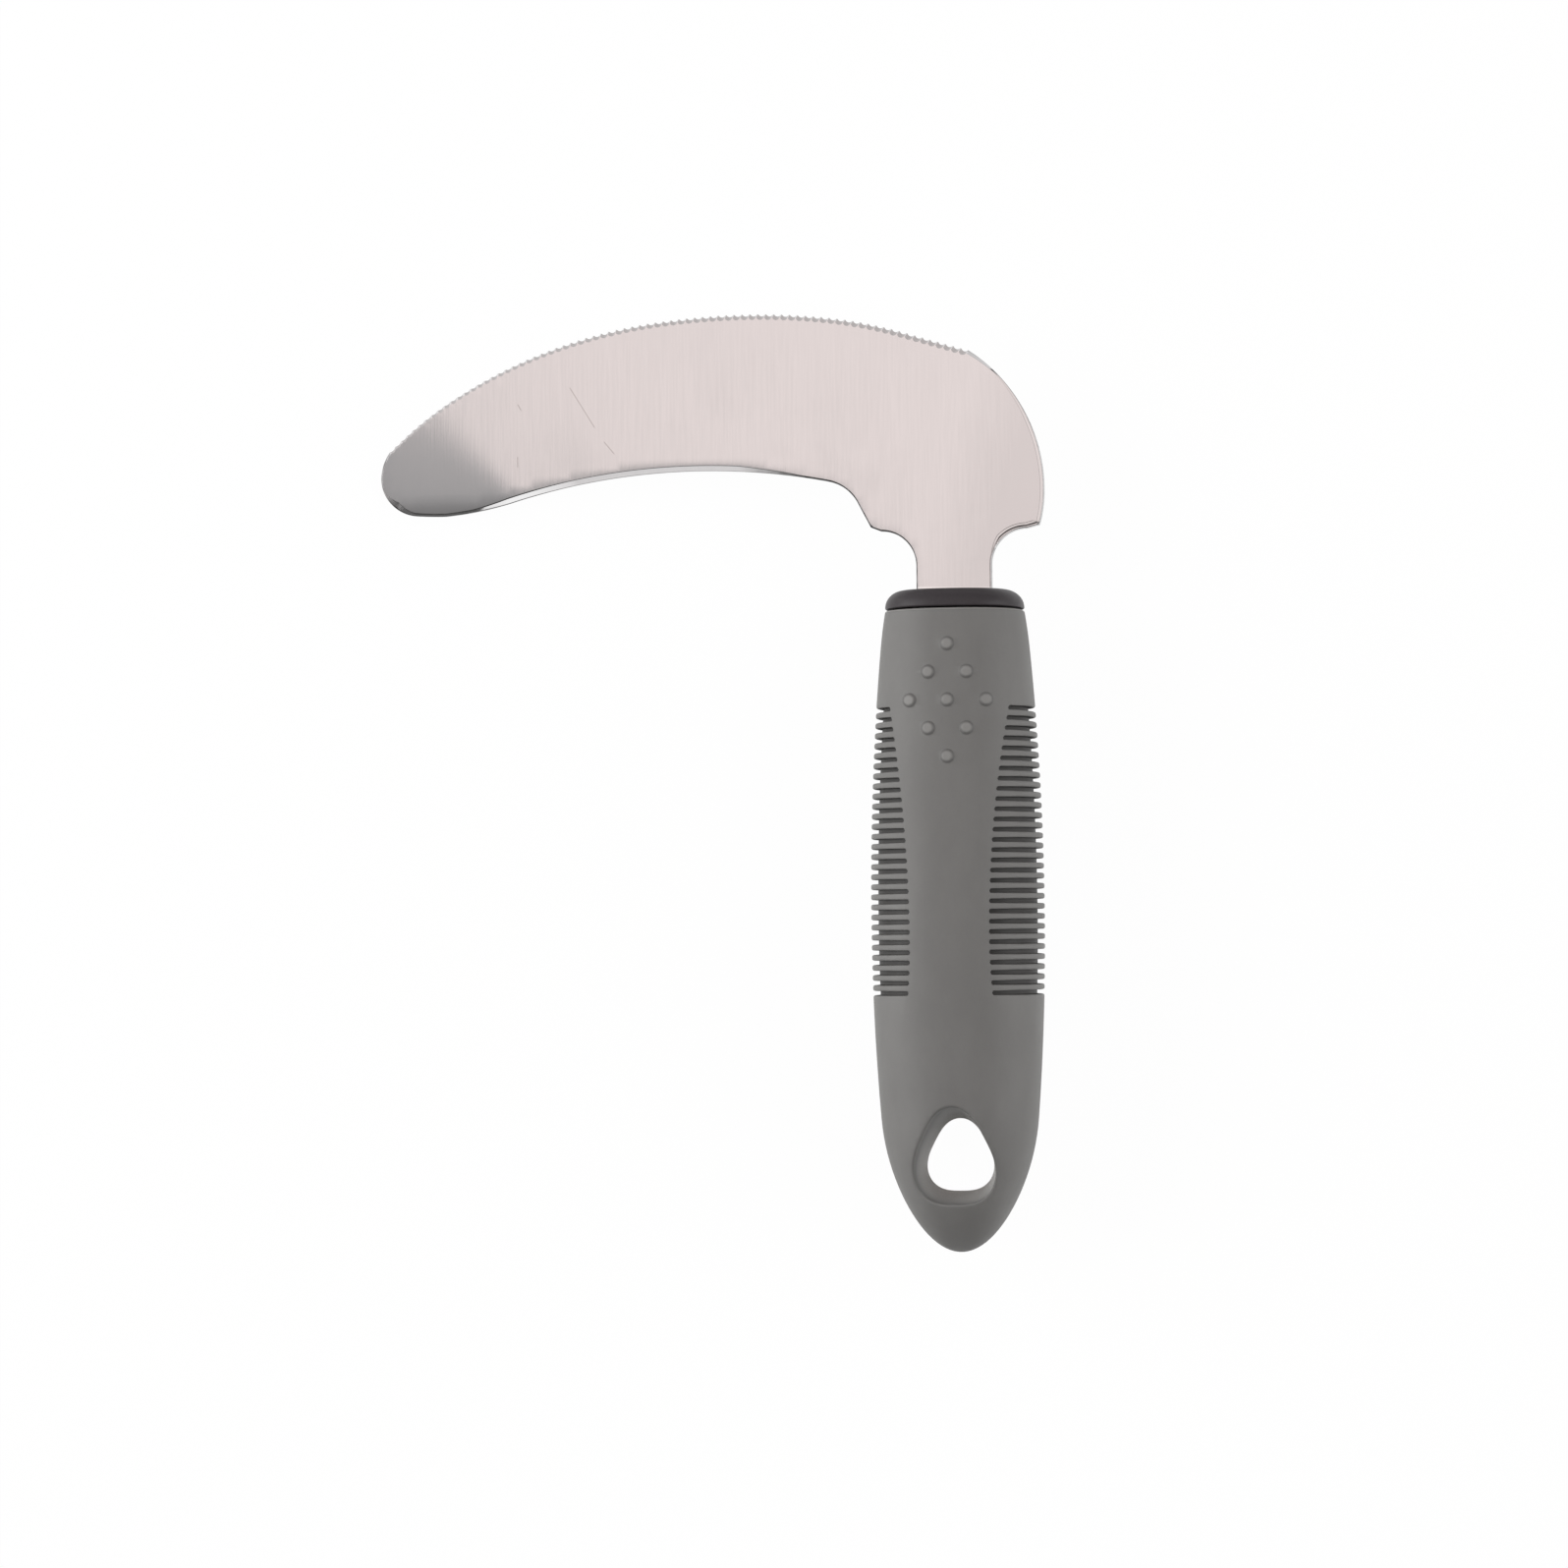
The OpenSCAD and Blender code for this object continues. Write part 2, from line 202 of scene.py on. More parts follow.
def calcVector(operation, *values):
    result = calc(operation, *values, kind="VectorMath")
    return result["Value" if operation in ("DOT_PRODUCT", "LENGTH") else "Vector"]


def scaled(vector, factor):
    return addNode(vector.socket.id_data, "ShaderNodeVectorMath", {"operation": "SCALE"},
                   Vector=vector, Scale=factor)


def kept(value, low, high):
    return calc("MINIMUM", calc("MAXIMUM", value, low), high)


def remap(value, fromLow, fromHigh, toLow=0.0, toHigh=1.0, curve="LINEAR"):
    node = value.socket.id_data.nodes.new("ShaderNodeMapRange")
    node.interpolation_type = curve
    for socket, number in zip(node.inputs, (value, fromLow, fromHigh, toLow, toHigh)):
        feed(socket, number)
    return Wire(node)


def eased(value, fromLow, fromHigh, toLow=0.0, toHigh=1.0):
    return remap(value, fromLow, fromHigh, toLow, toHigh, "SMOOTHSTEP")


def attributeOf(tree, name):
    return shapeNode(tree, "InputNamedAttribute", {"data_type": "FLOAT"}, Name=name)["Attribute"]


def shapeOf(tree, chosen):
    return shapeNode(tree, "ObjectInfo", Object=chosen)["Geometry"]


def joinedMesh(tree, operation, others, mesh=None):
    return shapeNode(tree, "MeshBoolean", {"operation": operation, "solver": "MANIFOLD"},
                     Mesh_1=mesh, Mesh_2=others)


def shapeTree(name, values):
    tree = bpy.data.node_groups.new(name, "GeometryNodeTree")
    kinds = {int: "Int", float: "Float", bpy.types.Object: "Object", bpy.types.Material: "Material"}
    tree.interface.new_socket("Geometry", in_out="INPUT", socket_type="NodeSocketGeometry")
    for label, value in values.items():
        kind = "NodeSocket" + kinds[type(value)]
        tree.interface.new_socket(label, in_out="INPUT", socket_type=kind)
    tree.interface.new_socket("Geometry", in_out="OUTPUT", socket_type="NodeSocketGeometry")
    return tree, Wire(tree.nodes.new("NodeGroupInput"))


def endTree(tree, source, result):
    real = shapeNode(tree, "RealizeInstances", Geometry=result)
    painted = shapeNode(tree, "SetMaterial", Geometry=real, Material=source["Material"])
    feed(tree.nodes.new("NodeGroupOutput").inputs["Geometry"], painted)
    return tree


def runTree(obj, makeTree, values):
    tree = makeTree(values)
    modifier = obj.modifiers.new(tree.name, "NODES")
    modifier.node_group = tree
    for item in tree.interface.items_tree:
        if item.item_type == "SOCKET" and item.in_out == "INPUT" and item.name in values:
            modifier[item.identifier] = values[item.name]
    graph = bpy.context.evaluated_depsgraph_get()
    mesh = bpy.data.meshes.new_from_object(obj.evaluated_get(graph), depsgraph=graph)
    obj.modifiers.clear()
    old = obj.data
    obj.data = mesh
    bpy.data.meshes.remove(old)


# Handle: the same rules as the CAD's, with more rows and columns

handle = {
    "length": 115.2, "width": 31.0, "thickness": 30.0, "squareness": 2.4,
    "swellAt": 61.0, "headSideRadius": 520.0, "tailSideRadius": 473.0,
    "tailCap": 24.0, "turnIn": 7.0, "collarWidth": 24.9, "lipRound": 0.45,
    "lipRub": 0.45}
grooves = {
    "count": 29, "firstAt": 46.6, "pitch": 1.81, "width": 0.8, "depth": 1.3, "wall": 0.06,
    "rimAtPanel": 0.1, "rimAtSide": 0.34, "rimFrom": 1.2, "rimTo": 7.0,
    "panelWaist": 7.05, "waistAt": 56.0, "panelHeadRadius": 240.0, "panelTailRadius": 105.0,
    "panelMost": 0.8}


def sideBow(y):
    radius = np.where(y > handle["swellAt"], handle["headSideRadius"], handle["tailSideRadius"])
    return handle["width"] / 2 - (y - handle["swellAt"]) ** 2 / (2 * radius)


def halfWidth(y):
    y = np.asarray(y, float)
    headBow = float(sideBow(np.array(handle["length"])))
    turn = np.clip((y - handle["length"] + handle["turnIn"]) / handle["turnIn"], 0, 1) ** 2
    cap = np.sqrt(np.clip(1 - (1 - np.minimum(y / handle["tailCap"], 1)) ** 2, 0, 1))
    return (sideBow(y) - (headBow - handle["collarWidth"] / 2) * turn) * cap


def halfThickness(y):
    return halfWidth(y) * handle["thickness"] / handle["width"]


def panelHalf(y):
    radius = np.where(y > grooves["waistAt"], grooves["panelHeadRadius"],
                      grooves["panelTailRadius"])
    return np.minimum(grooves["panelMost"] * halfWidth(y),
                      grooves["panelWaist"] + (y - grooves["waistAt"]) ** 2 / (2 * radius))


def superEllipse(turn, width, thickness, power):
    c, s = np.cos(turn), np.sin(turn)
    return (width * np.sign(c) * np.abs(c) ** (2 / power),
            thickness * np.sign(s) * np.abs(s) ** (2 / power))


def rimRound(sideRun):
    return grooves["rimAtPanel"] + (grooves["rimAtSide"] - grooves["rimAtPanel"]) * smoothStep(
        grooves["rimFrom"], grooves["rimTo"], sideRun)


def halfSectionStops(y):
    half = 600
    turn = np.linspace(pi / 2, -pi / 2, 2 * half + 1)
    x, z = superEllipse(turn, halfWidth(y), halfThickness(y), handle["squareness"])
    run = np.concatenate([[0], np.cumsum(np.hypot(np.diff(x), np.diff(z)))])
    return turn, run, float(np.interp(panelHalf(y), x[:half], run[:half]))


skinGrid = {
    "panelColumns": 11, "sideColumns": 13, "capRows": 24, "tailRows": 20, "headRows": 24,
    "firstDeg": 3, "lipDegs": [22, 45, 68, 90], "grooveMargin": 1.2, "bendMargin": 1.5,
    "leastY": 0.3, "endStops": [-0.25, -0.1, 0.0, 0.06, 0.2, 0.33, 0.55, 0.9]}
# A run so far from the side panels that no groove reaches it
beyondSkin = -9


def skinRows():
    first, pitch = grooves["firstAt"], grooves["pitch"]
    last = first + pitch * (grooves["count"] - 1)
    half, wall = grooves["width"] / 2, grooves["wall"]
    tail = [handle["tailCap"] * (1 - cos(a))
            for a in np.radians(np.linspace(skinGrid["firstDeg"], 90, skinGrid["capRows"]))]
    tail += list(np.linspace(handle["tailCap"], first - skinGrid["grooveMargin"],
                             skinGrid["tailRows"] + 1)[1:])
    head = np.linspace(last + skinGrid["grooveMargin"], handle["length"] - handle["lipRound"],
                       skinGrid["headRows"])
    rows = [(y, 0, 0) for y in tail]
    profile = [(half, 1.0), (half, 0.5), (half, 0.15), (half, 0.0), (half - wall, 0.0)]
    for k in range(grooves["count"]):
        centre = first + k * pitch
        rows += [(centre - edge, -1, share) for edge, share in profile]
        rows.append((centre, 0, 0))
        rows += [(centre + edge, 1, share) for edge, share in reversed(profile)]
    return rows + [(y, 0, 0) for y in head]


def gripSkin():
    half, pitch = grooves["width"] / 2, grooves["pitch"]
    bendFrom = grooves["firstAt"] - skinGrid["bendMargin"]
    bendTo = grooves["firstAt"] + pitch * grooves["count"]
    rings, sideRuns, rims = [], [], []
    for y, side, share in skinRows():
        turn, run, edgeRun = halfSectionStops(max(y, skinGrid["leastY"]))
        middle = run[-1] / 2
        offset = abs((y - grooves["firstAt"] + pitch / 2) % pitch - pitch / 2)
        shift = half - sqrt(max(half ** 2 - offset ** 2, 0))
        if offset > half:
            shift = half * max(0, 1 - (offset - half) / (pitch / 2 - half))
        stops = np.array(skinGrid["endStops"])
        if bendFrom < y < bendTo:
            stops = stops + shift * np.clip(1 - np.abs(stops) / stops[-1], 0, 1)
        panel = np.linspace(0, edgeRun + stops[0], skinGrid["panelColumns"])[:-1]
        sideStops = edgeRun + stops
        mid = np.linspace(sideStops[-1], middle, skinGrid["sideColumns"] + 1)[1:]
        quarter = np.concatenate([panel, sideStops, mid])
        right = np.concatenate([quarter, run[-1] - quarter[-2::-1]])
        angles = np.interp(right, run, turn)
        angles = np.concatenate([angles, pi - angles[-2:0:-1]])
        runs = np.concatenate([right, right[-2:0:-1]])
        sideRun = np.minimum(runs, run[-1] - runs) - edgeRun
        rim = rimRound(sideRun)
        rowY = y + side * share * rim
        x, z = superEllipse(angles, 1, 1, handle["squareness"])
        rings.append(ringAt(x * halfWidth(rowY), rowY, z * halfThickness(rowY)))
        sideRuns.append(sideRun)
        rims.append(rim)
    lip, lipRings = handle["lipRound"], len(skinGrid["lipDegs"])
    lastRing = rings[-1]
    for a in np.radians(skinGrid["lipDegs"]):
        ring = lastRing.copy()
        ring[:, [0, 2]] *= 1 - lip * (1 - cos(a)) / halfWidth(handle["length"])
        ring[:, 1] = handle["length"] - lip + lip * sin(a)
        rings.append(ring)
        sideRuns.append(sideRuns[-1] * 0 + beyondSkin)
        rims.append(rims[-1])
    obj = closedLoft("gripSkin", rings, (0, 0, 0), (0, handle["length"], 0))
    flat = sideRuns[0] * 0
    # The lip rings get a lift that gives them the lighter tone: a painted highlight along the
    # grip's rim
    lifts = [flat] * (len(rings) - lipRings) + [flat + handle["lipRub"]] * lipRings
    for name, values, atPoles in (("sideRun", sideRuns, [beyondSkin] * 2),
                                  ("rimRound", rims, [1, 1]), ("lift", lifts, [0, 0])):
        storeValues(obj, name, np.concatenate([*values, atPoles]))
    return obj


thumbBumps = {
    "diameter": 3.0, "height": 0.38, "acrossHalf": 3.42, "rowPitch": 5.02, "middleAt": 98.7,
    "flat": 0.42, "foot": 0.04, "sunk": 0.4, "rings": 16, "segments": 40, "castFrom": 40}
# The triangle widens the hole a little, so its half width is less than half its width
hangHole = {
    "width": 12.1, "length": 13.0, "at": 16.9, "mouthWidth": 14.7, "mouthLength": 17.4,
    "bowl": 6.5, "bowlRings": 9, "triangle": 0.09, "widthPerHalf": 2.07, "rim": 0.55,
    "rimDegs": [0, 20, 38, 54, 68, 80], "segments": 120, "dustTo": 0.05}
core = {
    "collarHeight": 4.0, "shoulder": 3.2, "dome": 0.35, "shankWidth": 17.0, "shankThick": 12.0,
    "shankLength": 78.0, "shankSquareness": 4, "seamGap": 0.3, "seamRound": 0.25, "fit": 0.02,
    "shoulderRings": 14, "domeShares": (0.85, 0.7, 0.5, 0.3, 0.12), "segments": 160}


def bumpLattice():
    rows = [(row, k) for row in range(-2, 3) for k in range(3 - abs(row))]
    spots = [((2 * k - 2 + abs(row)) * thumbBumps["acrossHalf"],
              thumbBumps["middleAt"] + row * thumbBumps["rowPitch"]) for row, k in rows]
    far = thumbBumps["castFrom"]
    return newObject("bumpLattice", [(x, y, z) for z in (far, -far) for x, y in spots], [])


def bumpButton():
    radius, flat, rings = thumbBumps["diameter"] / 2, thumbBumps["flat"], thumbBumps["rings"]
    count = thumbBumps["segments"]
    radii = [radius * (i + 1) / rings for i in range(rings)]
    # The foot runs out just under the skin, so that the two meet in a clean ring
    fall = thumbBumps["height"] + thumbBumps["foot"]
    lift = [thumbBumps["height"] - fall * float(smoothStep(flat, 1, r / radius)) for r in radii]
    loops = [(r, h, 0) for r, h in zip(radii, lift)] + [(radius, -thumbBumps["sunk"], -1)]
    turn = fullTurn(count)
    ringList = [ringAt(r * np.cos(turn), r * np.sin(turn), z) for r, h, z in loops]
    obj = closedLoft("bumpButton", ringList, (0, 0, 0), (0, 0, -1))
    storeValues(obj, "lift", np.concatenate([[h] * count for _, h, _ in loops]
                                            + [[thumbBumps["height"], -thumbBumps["sunk"]]]))
    return obj


def frontZ(x, y):
    share = np.clip(np.abs(x) / halfWidth(y), 0, 1)
    return halfThickness(y) * (1 - share ** handle["squareness"]) ** (1 / handle["squareness"])


def holeRing(turned, grow):
    turn = fullTurn(hangHole["segments"])
    radius = 1 + hangHole["triangle"] * np.cos(3 * (turn - pi / 2))
    width = hangHole["width"] + (hangHole["mouthWidth"] - hangHole["width"]) * turned
    length = hangHole["length"] + (hangHole["mouthLength"] - hangHole["length"]) * turned
    x = (width / hangHole["widthPerHalf"] + grow) * radius * np.cos(turn)
    return x, hangHole["at"] + (length / 2 + grow) * radius * np.sin(turn)


def holeCutter():
    above = []
    for t in np.linspace(0, 1, hangHole["bowlRings"]):
        x, y = holeRing(1 - (1 - t) ** 2, 0)
        above.append(ringAt(x, y, t * hangHole["bowl"]))
    rim = hangHole["rim"]
    for a in np.radians(hangHole["rimDegs"]):
        x, y = holeRing(1, rim * (1 - cos(a)))
        above.append(ringAt(x, y, frontZ(x, y) - rim * (1 - sin(a))))
    x, y = holeRing(1, rim)
    above.append(ringAt(x, y, handle["thickness"] / 2 + 1))
    below = [ring * (1, 1, -1) for ring in reversed(above[1:])]
    obj = closedLoft("holeCutter", below + above, below[0].mean(axis=0), above[-1].mean(axis=0))
    # Dust and painted light, which stands in for light from below the hole, lie thick at the waist
    # and thin out up the wall
    clean = [0] * (len(hangHole["rimDegs"]) + 1)
    half = np.concatenate([np.linspace(1, hangHole["dustTo"], hangHole["bowlRings"]), clean])
    dustAndPaintedLight = np.repeat(np.concatenate([half[:0:-1], half]), hangHole["segments"])
    storeValues(obj, "dustAndPaintedLight", np.concatenate([dustAndPaintedLight, [0, 0]]))
    return obj


def coreRing(y, width, thickness, squareness):
    x, z = superEllipse(fullTurn(core["segments"]), width, thickness, squareness)
    return ringAt(x, y, z)


def shankRing(y, grow):
    return coreRing(y, core["shankWidth"] / 2 + grow, core["shankThick"] / 2 + grow,
                    core["shankSquareness"])


def collarRing(width, y):
    thickness = width * handle["thickness"] / handle["width"]
    return coreRing(y, width, thickness, handle["squareness"])


def shankCutter():
    low = handle["length"] - core["shankLength"] - core["fit"]
    high = handle["length"] + 1
    return closedLoft("shankCutter", [shankRing(low, core["fit"]), shankRing(high, core["fit"])],
                      (0, low, 0), (0, high, 0))


def gripTree(values):
    tree, source = shapeTree("carveGrip", values)
    place = shapeNode(tree, "InputPosition")
    parts = addNode(tree, "ShaderNodeSeparateXYZ", Vector=place)
    # Distance from the middle of the nearest groove, then from the edge of its slot
    steps = (parts["Y"] - source["First Groove"]) / source["Groove Pitch"]
    nearest = kept(calc("ROUND", steps), 0.0, source["Groove Count"] - 1.0)
    along = (steps - nearest) * source["Groove Pitch"]
    half = source["Groove Width"] / 2.0
    beyondEnd = calc("MAXIMUM", half - attributeOf(tree, "sideRun"), 0.0)
    outside = calc("SQRT", along * along + beyondEnd * beyondEnd) - half
    rim = attributeOf(tree, "rimRound")
    share = kept(1.0 - outside / rim, 0.0, 1.0)
    bow = calc("SQRT", calc("MAXIMUM", 1.0 - share * share, 0.0))
    slot = kept(outside * -1.0 / source["Wall"], 0.0, 1.0)
    drop = rim * (1.0 - bow) + slot * (source["Groove Depth"] - rim)
    normal = shapeNode(tree, "InputNormal")
    carved = shapeNode(tree, "SetPosition", Geometry=source["Geometry"],
                       Offset=scaled(normal, drop * -1.0))
    # grooveShade marks the groove floors for painted shade
    marked = shapeNode(tree, "StoreNamedAttribute", {"data_type": "FLOAT"},
                       Geometry=carved, Name="grooveShade", Value=drop / source["Groove Depth"])
    # Thumb bumps, pressed on the smooth skin so that they follow its curve
    seeds = shapeNode(tree, "MeshToPoints", Mesh=shapeOf(tree, source["Bump Spots"]))
    buttons = shapeNode(tree, "InstanceOnPoints", Points=seeds,
                        Instance=shapeOf(tree, source["Bump Button"]))
    real = shapeNode(tree, "RealizeInstances", Geometry=buttons)
    inward = addNode(tree, "ShaderNodeCombineXYZ", Z=calc("SIGN", parts["Z"]) * -1.0)
    cast = shapeNode(tree, "Raycast", {"mapping": "INTERPOLATED"},
                     Target_Geometry=source["Geometry"], Source_Position=place,
                     Ray_Direction=inward, Ray_Length=100.0)
    raised = calcVector("ADD", cast["Hit Position"],
                        scaled(cast["Hit Normal"], attributeOf(tree, "lift")))
    pressed = shapeNode(tree, "SetPosition", Geometry=real, Position=raised)
    pressed = shapeNode(tree, "FlipFaces", Mesh=pressed,
                        Selection=calc("LESS_THAN", parts["Z"], 0.0))
    # Both are joined, then the hang hole and the seat of the core are cut through
    joined = joinedMesh(tree, "UNION", [marked, pressed])
    cutters = [shapeOf(tree, source[label]) for label in ("Hole Cutter", "Shank Cutter")]
    return endTree(tree, source, joinedMesh(tree, "DIFFERENCE", cutters, joined))


def mergeSlivers(obj):
    shape = bmesh.new()
    shape.from_mesh(obj.data)
    bmesh.ops.dissolve_degenerate(shape, edges=shape.edges, dist=sliverLength)
    bmesh.ops.triangulate(shape, faces=[f for f in shape.faces if len(f.verts) > 4])
    shape.to_mesh(obj.data)
    shape.free()


def finishPiece(obj, name, creaseDeg):
    mergeSlivers(obj)
    obj.name = name
    obj.data.name = name
    points = np.zeros(len(obj.data.vertices) * 3, np.float32)
    obj.data.vertices.foreach_get("co", points)
    placed = laidDown(points.reshape(-1, 3).astype(float))
    obj.data.vertices.foreach_set("co", placed.astype(np.float32).ravel())
    obj.data.update()
    obj.data.shade_smooth()
    obj.data.set_sharp_from_angle(angle=radians(creaseDeg))
    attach(obj, "root")
    print(name + ":", len(obj.data.polygons), "faces")
    return obj


# Blade: one outline of straight and round runs, and one section for its worked edges

blade = {
    "crown": 170.0, "reach": 105.5, "thickness": 2.0, "depth": 39.5, "heelReach": 16.4,
    "neck": 13.6, "notch": 6.4, "nose": 6.9, "tangWidth": 10.5, "tangLength": 56.0,
    "tangBevel": 2.0, "pointGap": 0.45, "burr": 0.16, "burrWaves": (2.1, 0.73),
    "backRound": 0.22, "frontGrid": 1.6, "backGrid": 6.0}
teeth = {
    "pitch": 1.45, "depth": 0.45, "tip": 0.12, "bevel": 0.75, "land": 0.15, "runOut": 6.5,
    "segments": 28, "toolLength": 7.0, "shade": 0.52, "shallowFrom": 0.62, "shallowDepth": 0.22}
corner = blade["crown"] - blade["depth"]


def onBlade(u, v):
    return np.array([-u * blade["reach"], blade["crown"] - v * blade["depth"]])


def arcPoints(p, q, radius):
    p, q = np.asarray(p, float), np.asarray(q, float)
    gap = float(np.hypot(*(q - p)))
    if radius == 0:
        steps = max(1, round(gap / blade["pointGap"]))
        return [p + (q - p) * i / steps for i in range(1, steps + 1)]
    r = max(abs(radius), gap / 2 * 1.001)
    side = 1 if radius > 0 else -1
    unit = (q - p) / gap
    centre = (p + q) / 2 + np.array([-unit[1], unit[0]]) * side * sqrt(r * r - gap * gap / 4)
    sweep = 2 * asin(gap / 2 / r) * side
    start = atan2(p[1] - centre[1], p[0] - centre[0])
    steps = max(2, round(r * abs(sweep) / blade["pointGap"]))
    turns = start + sweep * np.arange(1, steps + 1) / steps
    return [centre + r * np.array([cos(a), sin(a)]) for a in turns]


# Worked edges: width and drop of the bevel, its upper and lower rounds, the painted shade of the
# bevel (below zero a painted highlight, brighter than the face) and of its rounds, and the outer
# line from and to;
# the painted shade and highlight stand in for the dark and bright surroundings that the thin edges
# reflect
edgeForms = {
    "sheared": (0.2, 0.2, 0.14, 0.1, 0.97, 0.98, 0.8, 1),
    "neckRight": (0.3, 0.05, 0.3, 0.12, 0.5, 0.5, 0.8, 1),
    "notchRight": (0.95, 0.08, 1.4, 0.1, -0.3, 0.95, 0.34, 0.74),
    "heelSide": (0.62, 0.06, 1.1, 0.1, -0.2, 0.45, 0.85, 1),
    "heelTop": (0.25, 0.12, 0.1, 0.1, 0.05, 0.15, 0.8, 1),
    "ground": (0.75, 1.7, 0.02, 0.02, 0.0, 0.3, 0.6, 1),
    "runOut": (0.75, 1.7, 0.02, 0.02, 0.36, 0.5, 0.6, 1),
    "groundNose": (0.5, 1.0, 0.05, 0.05, 0.4, 0.6, 0.6, 1),
    "noseLeft": (0.24, 0.24, 0.16, 0.1, 0.9, 0.95, 0.8, 1),
    "noseTurn": (1.2, 0.55, 0.4, 0.2, 0.72, 0.97, 0.8, 1),
    "noseFoot": (0.42, 0.52, 0.34, 0.12, -0.1, 0.97, 0.8, 1),
    "spineLine": (0.4, 0.5, 0.26, 0.12, -0.2, 0.95, 0.8, 1),
    "wedgeLight": (0.8, 1.5, 0.28, 0.12, -0.8, 0.95, 0.85, 1),
    "wedge": (0.85, 1.55, 0.14, 0.12, 0.12, 0.6, 0.9, 1)}


def bladeOutline():
    notchTop = corner - 0.6
    notchFoot = notchTop - blade["notch"]
    notchX = blade["neck"] / 2 + blade["notch"]
    heelTop = np.array([2.9, blade["crown"] - 0.193 * blade["depth"]])
    heelSide = np.array([blade["heelReach"], corner + 6.1])
    heelFoot = np.array([blade["heelReach"] - 0.9, corner])
    noseSide = onBlade(1, 0.7225)
    noseFoot = noseSide + blade["nose"] * np.array([0.913, -0.996])
    spineStart = noseFoot + np.array([5.7, -0.2])
    innerFoot = np.array([-notchX - 1.8, corner + 0.1])
    innerTurn = innerFoot + np.array([-2.1, 4])
    spineEnd = innerTurn + np.array([-5.8, 4.6])
    collarTop = handle["length"] + core["collarHeight"] / 4
    tangEnd = handle["length"] - blade["tangLength"]
    tang = blade["tangWidth"] / 2
    neck = blade["neck"] / 2
    # Each run: end point, radius, the form of its worked edge at its end or the forms by their
    # share along it, and whether it is part of the heel or of the cutting edge
    runs = [
        ((notchX, notchTop), -blade["notch"],
         {0.2: "neckRight", 0.5: "notchRight", 1: "notchRight"}),
        (heelFoot, 0, "notchRight"),
        (heelSide, 22, {0.04: "heelSide", 1: "heelSide"}, "heel"),
        (heelTop, 30.4, {0.4: "heelSide", 0.8: "heelTop", 1: "heelTop"}, "heel"),
        (onBlade(0.087, 0.0996), 0, {0: "ground", 1: "ground"}, "edge"),
        (onBlade(0.1925, 0.034), 80, "ground", "edge"),
        (onBlade(0.359, 0), 115, "ground", "edge"),
        (onBlade(0.5346, 0.0315), 137, "ground", "edge"),
        (onBlade(0.864, 0.344), 92, "ground", "edge"),
        (onBlade(0.986, 0.599), 67, "groundNose", "edge"),
        (noseSide, 11, {0.5: "noseLeft", 1: "noseLeft"}),
        (noseFoot, blade["nose"], {0.25: "noseLeft", 0.6: "noseTurn", 1: "noseFoot"}),
        (spineStart, 60, "spineLine"),
        (onBlade(0.774, 0.848), 63, {0.45: "spineLine", 1: "wedgeLight"}),
        (spineEnd, -120, {0.06: "wedgeLight", 0.22: "wedge", 0.72: "wedge", 0.92: "sheared",
                          1: "sheared"}),
        (innerTurn, -8, "sheared"), (innerFoot, 0, "sheared"),
        ((-notchX, notchTop), 0, "sheared"), ((-neck, notchFoot), -blade["notch"], "sheared")]
    # Down the neck, round the tang and up again
    cut = blade["tangBevel"]
    runs += [(end, 0, "sheared") for end in (
        (-neck, collarTop), (-tang, collarTop - 1), (-tang, tangEnd + cut), (cut - tang, tangEnd),
        (tang - cut, tangEnd), (tang, tangEnd + cut), (tang, collarTop - 1))]
    runs += [((neck, collarTop), 0, "neckRight"), ((neck, notchFoot), 0, "neckRight")]
    at, form = np.array([neck, notchFoot]), edgeForms["neckRight"]
    points, parts, bands = [], [], []
    for end, radius, stops, *part in runs:
        stretch = arcPoints(at, end, radius)
        steps = len(stretch)
        points += stretch
        parts += (part or [""]) * steps
        named = stops if isinstance(stops, dict) else {1: stops}
        known = {0: form, **{share: edgeForms[name] for share, name in named.items()}}
        along = np.arange(1, steps + 1) / steps
        values = np.array(list(known.values()))
        bands += list(np.stack([np.interp(along, list(known), v) for v in values.T], axis=1))
        at, form = np.array(end, float), values[-1]
    return np.array(points), np.array(parts), np.array(bands), heelTop


def outwardOf(points):
    ahead = np.roll(points, -1, axis=0) - np.roll(points, 1, axis=0)
    ahead /= np.hypot(ahead[:, 0], ahead[:, 1])[:, None]
    return np.stack([ahead[:, 1], -ahead[:, 0]], axis=1)


# The nose falls away from the flat face: past a slanting line, and rolled over at its low edge
faceFall = {
    "along": (-0.707, -0.707), "middle": (-89.0, 145.8), "turnOver": 7.0, "softer": 0.3,
    "turnOverLimits": (3, 11), "slope": 0.034, "lessUpward": 0.0009,
    "slopeLimits": (0.02, 0.045), "rate": 0.0008, "rollAt": 137.8, "rollUntil": -60.0,
    "roll": 0.03}


def frontFall(x, y):
    dx, dy = x - faceFall["middle"][0], y - faceFall["middle"][1]
    ax, ay = faceFall["along"]
    across = dx * ay - dy * ax
    turnOver = np.clip(faceFall["turnOver"] + faceFall["softer"] * across,
                       *faceFall["turnOverLimits"])
    slope = np.clip(faceFall["slope"] - faceFall["lessUpward"] * across,
                    *faceFall["slopeLimits"])
    beyond = np.maximum(dx * ax + dy * ay + turnOver / 2, 0)
    turned = np.minimum(beyond, turnOver)
    past = beyond - turned
    rolled = np.where(x < faceFall["rollUntil"], np.maximum(faceFall["rollAt"] - y, 0), 0)
    return (slope / turnOver / 2 * turned ** 2 + slope * past
            + faceFall["rate"] / 2 * past ** 2 + faceFall["roll"] * rolled ** 2)


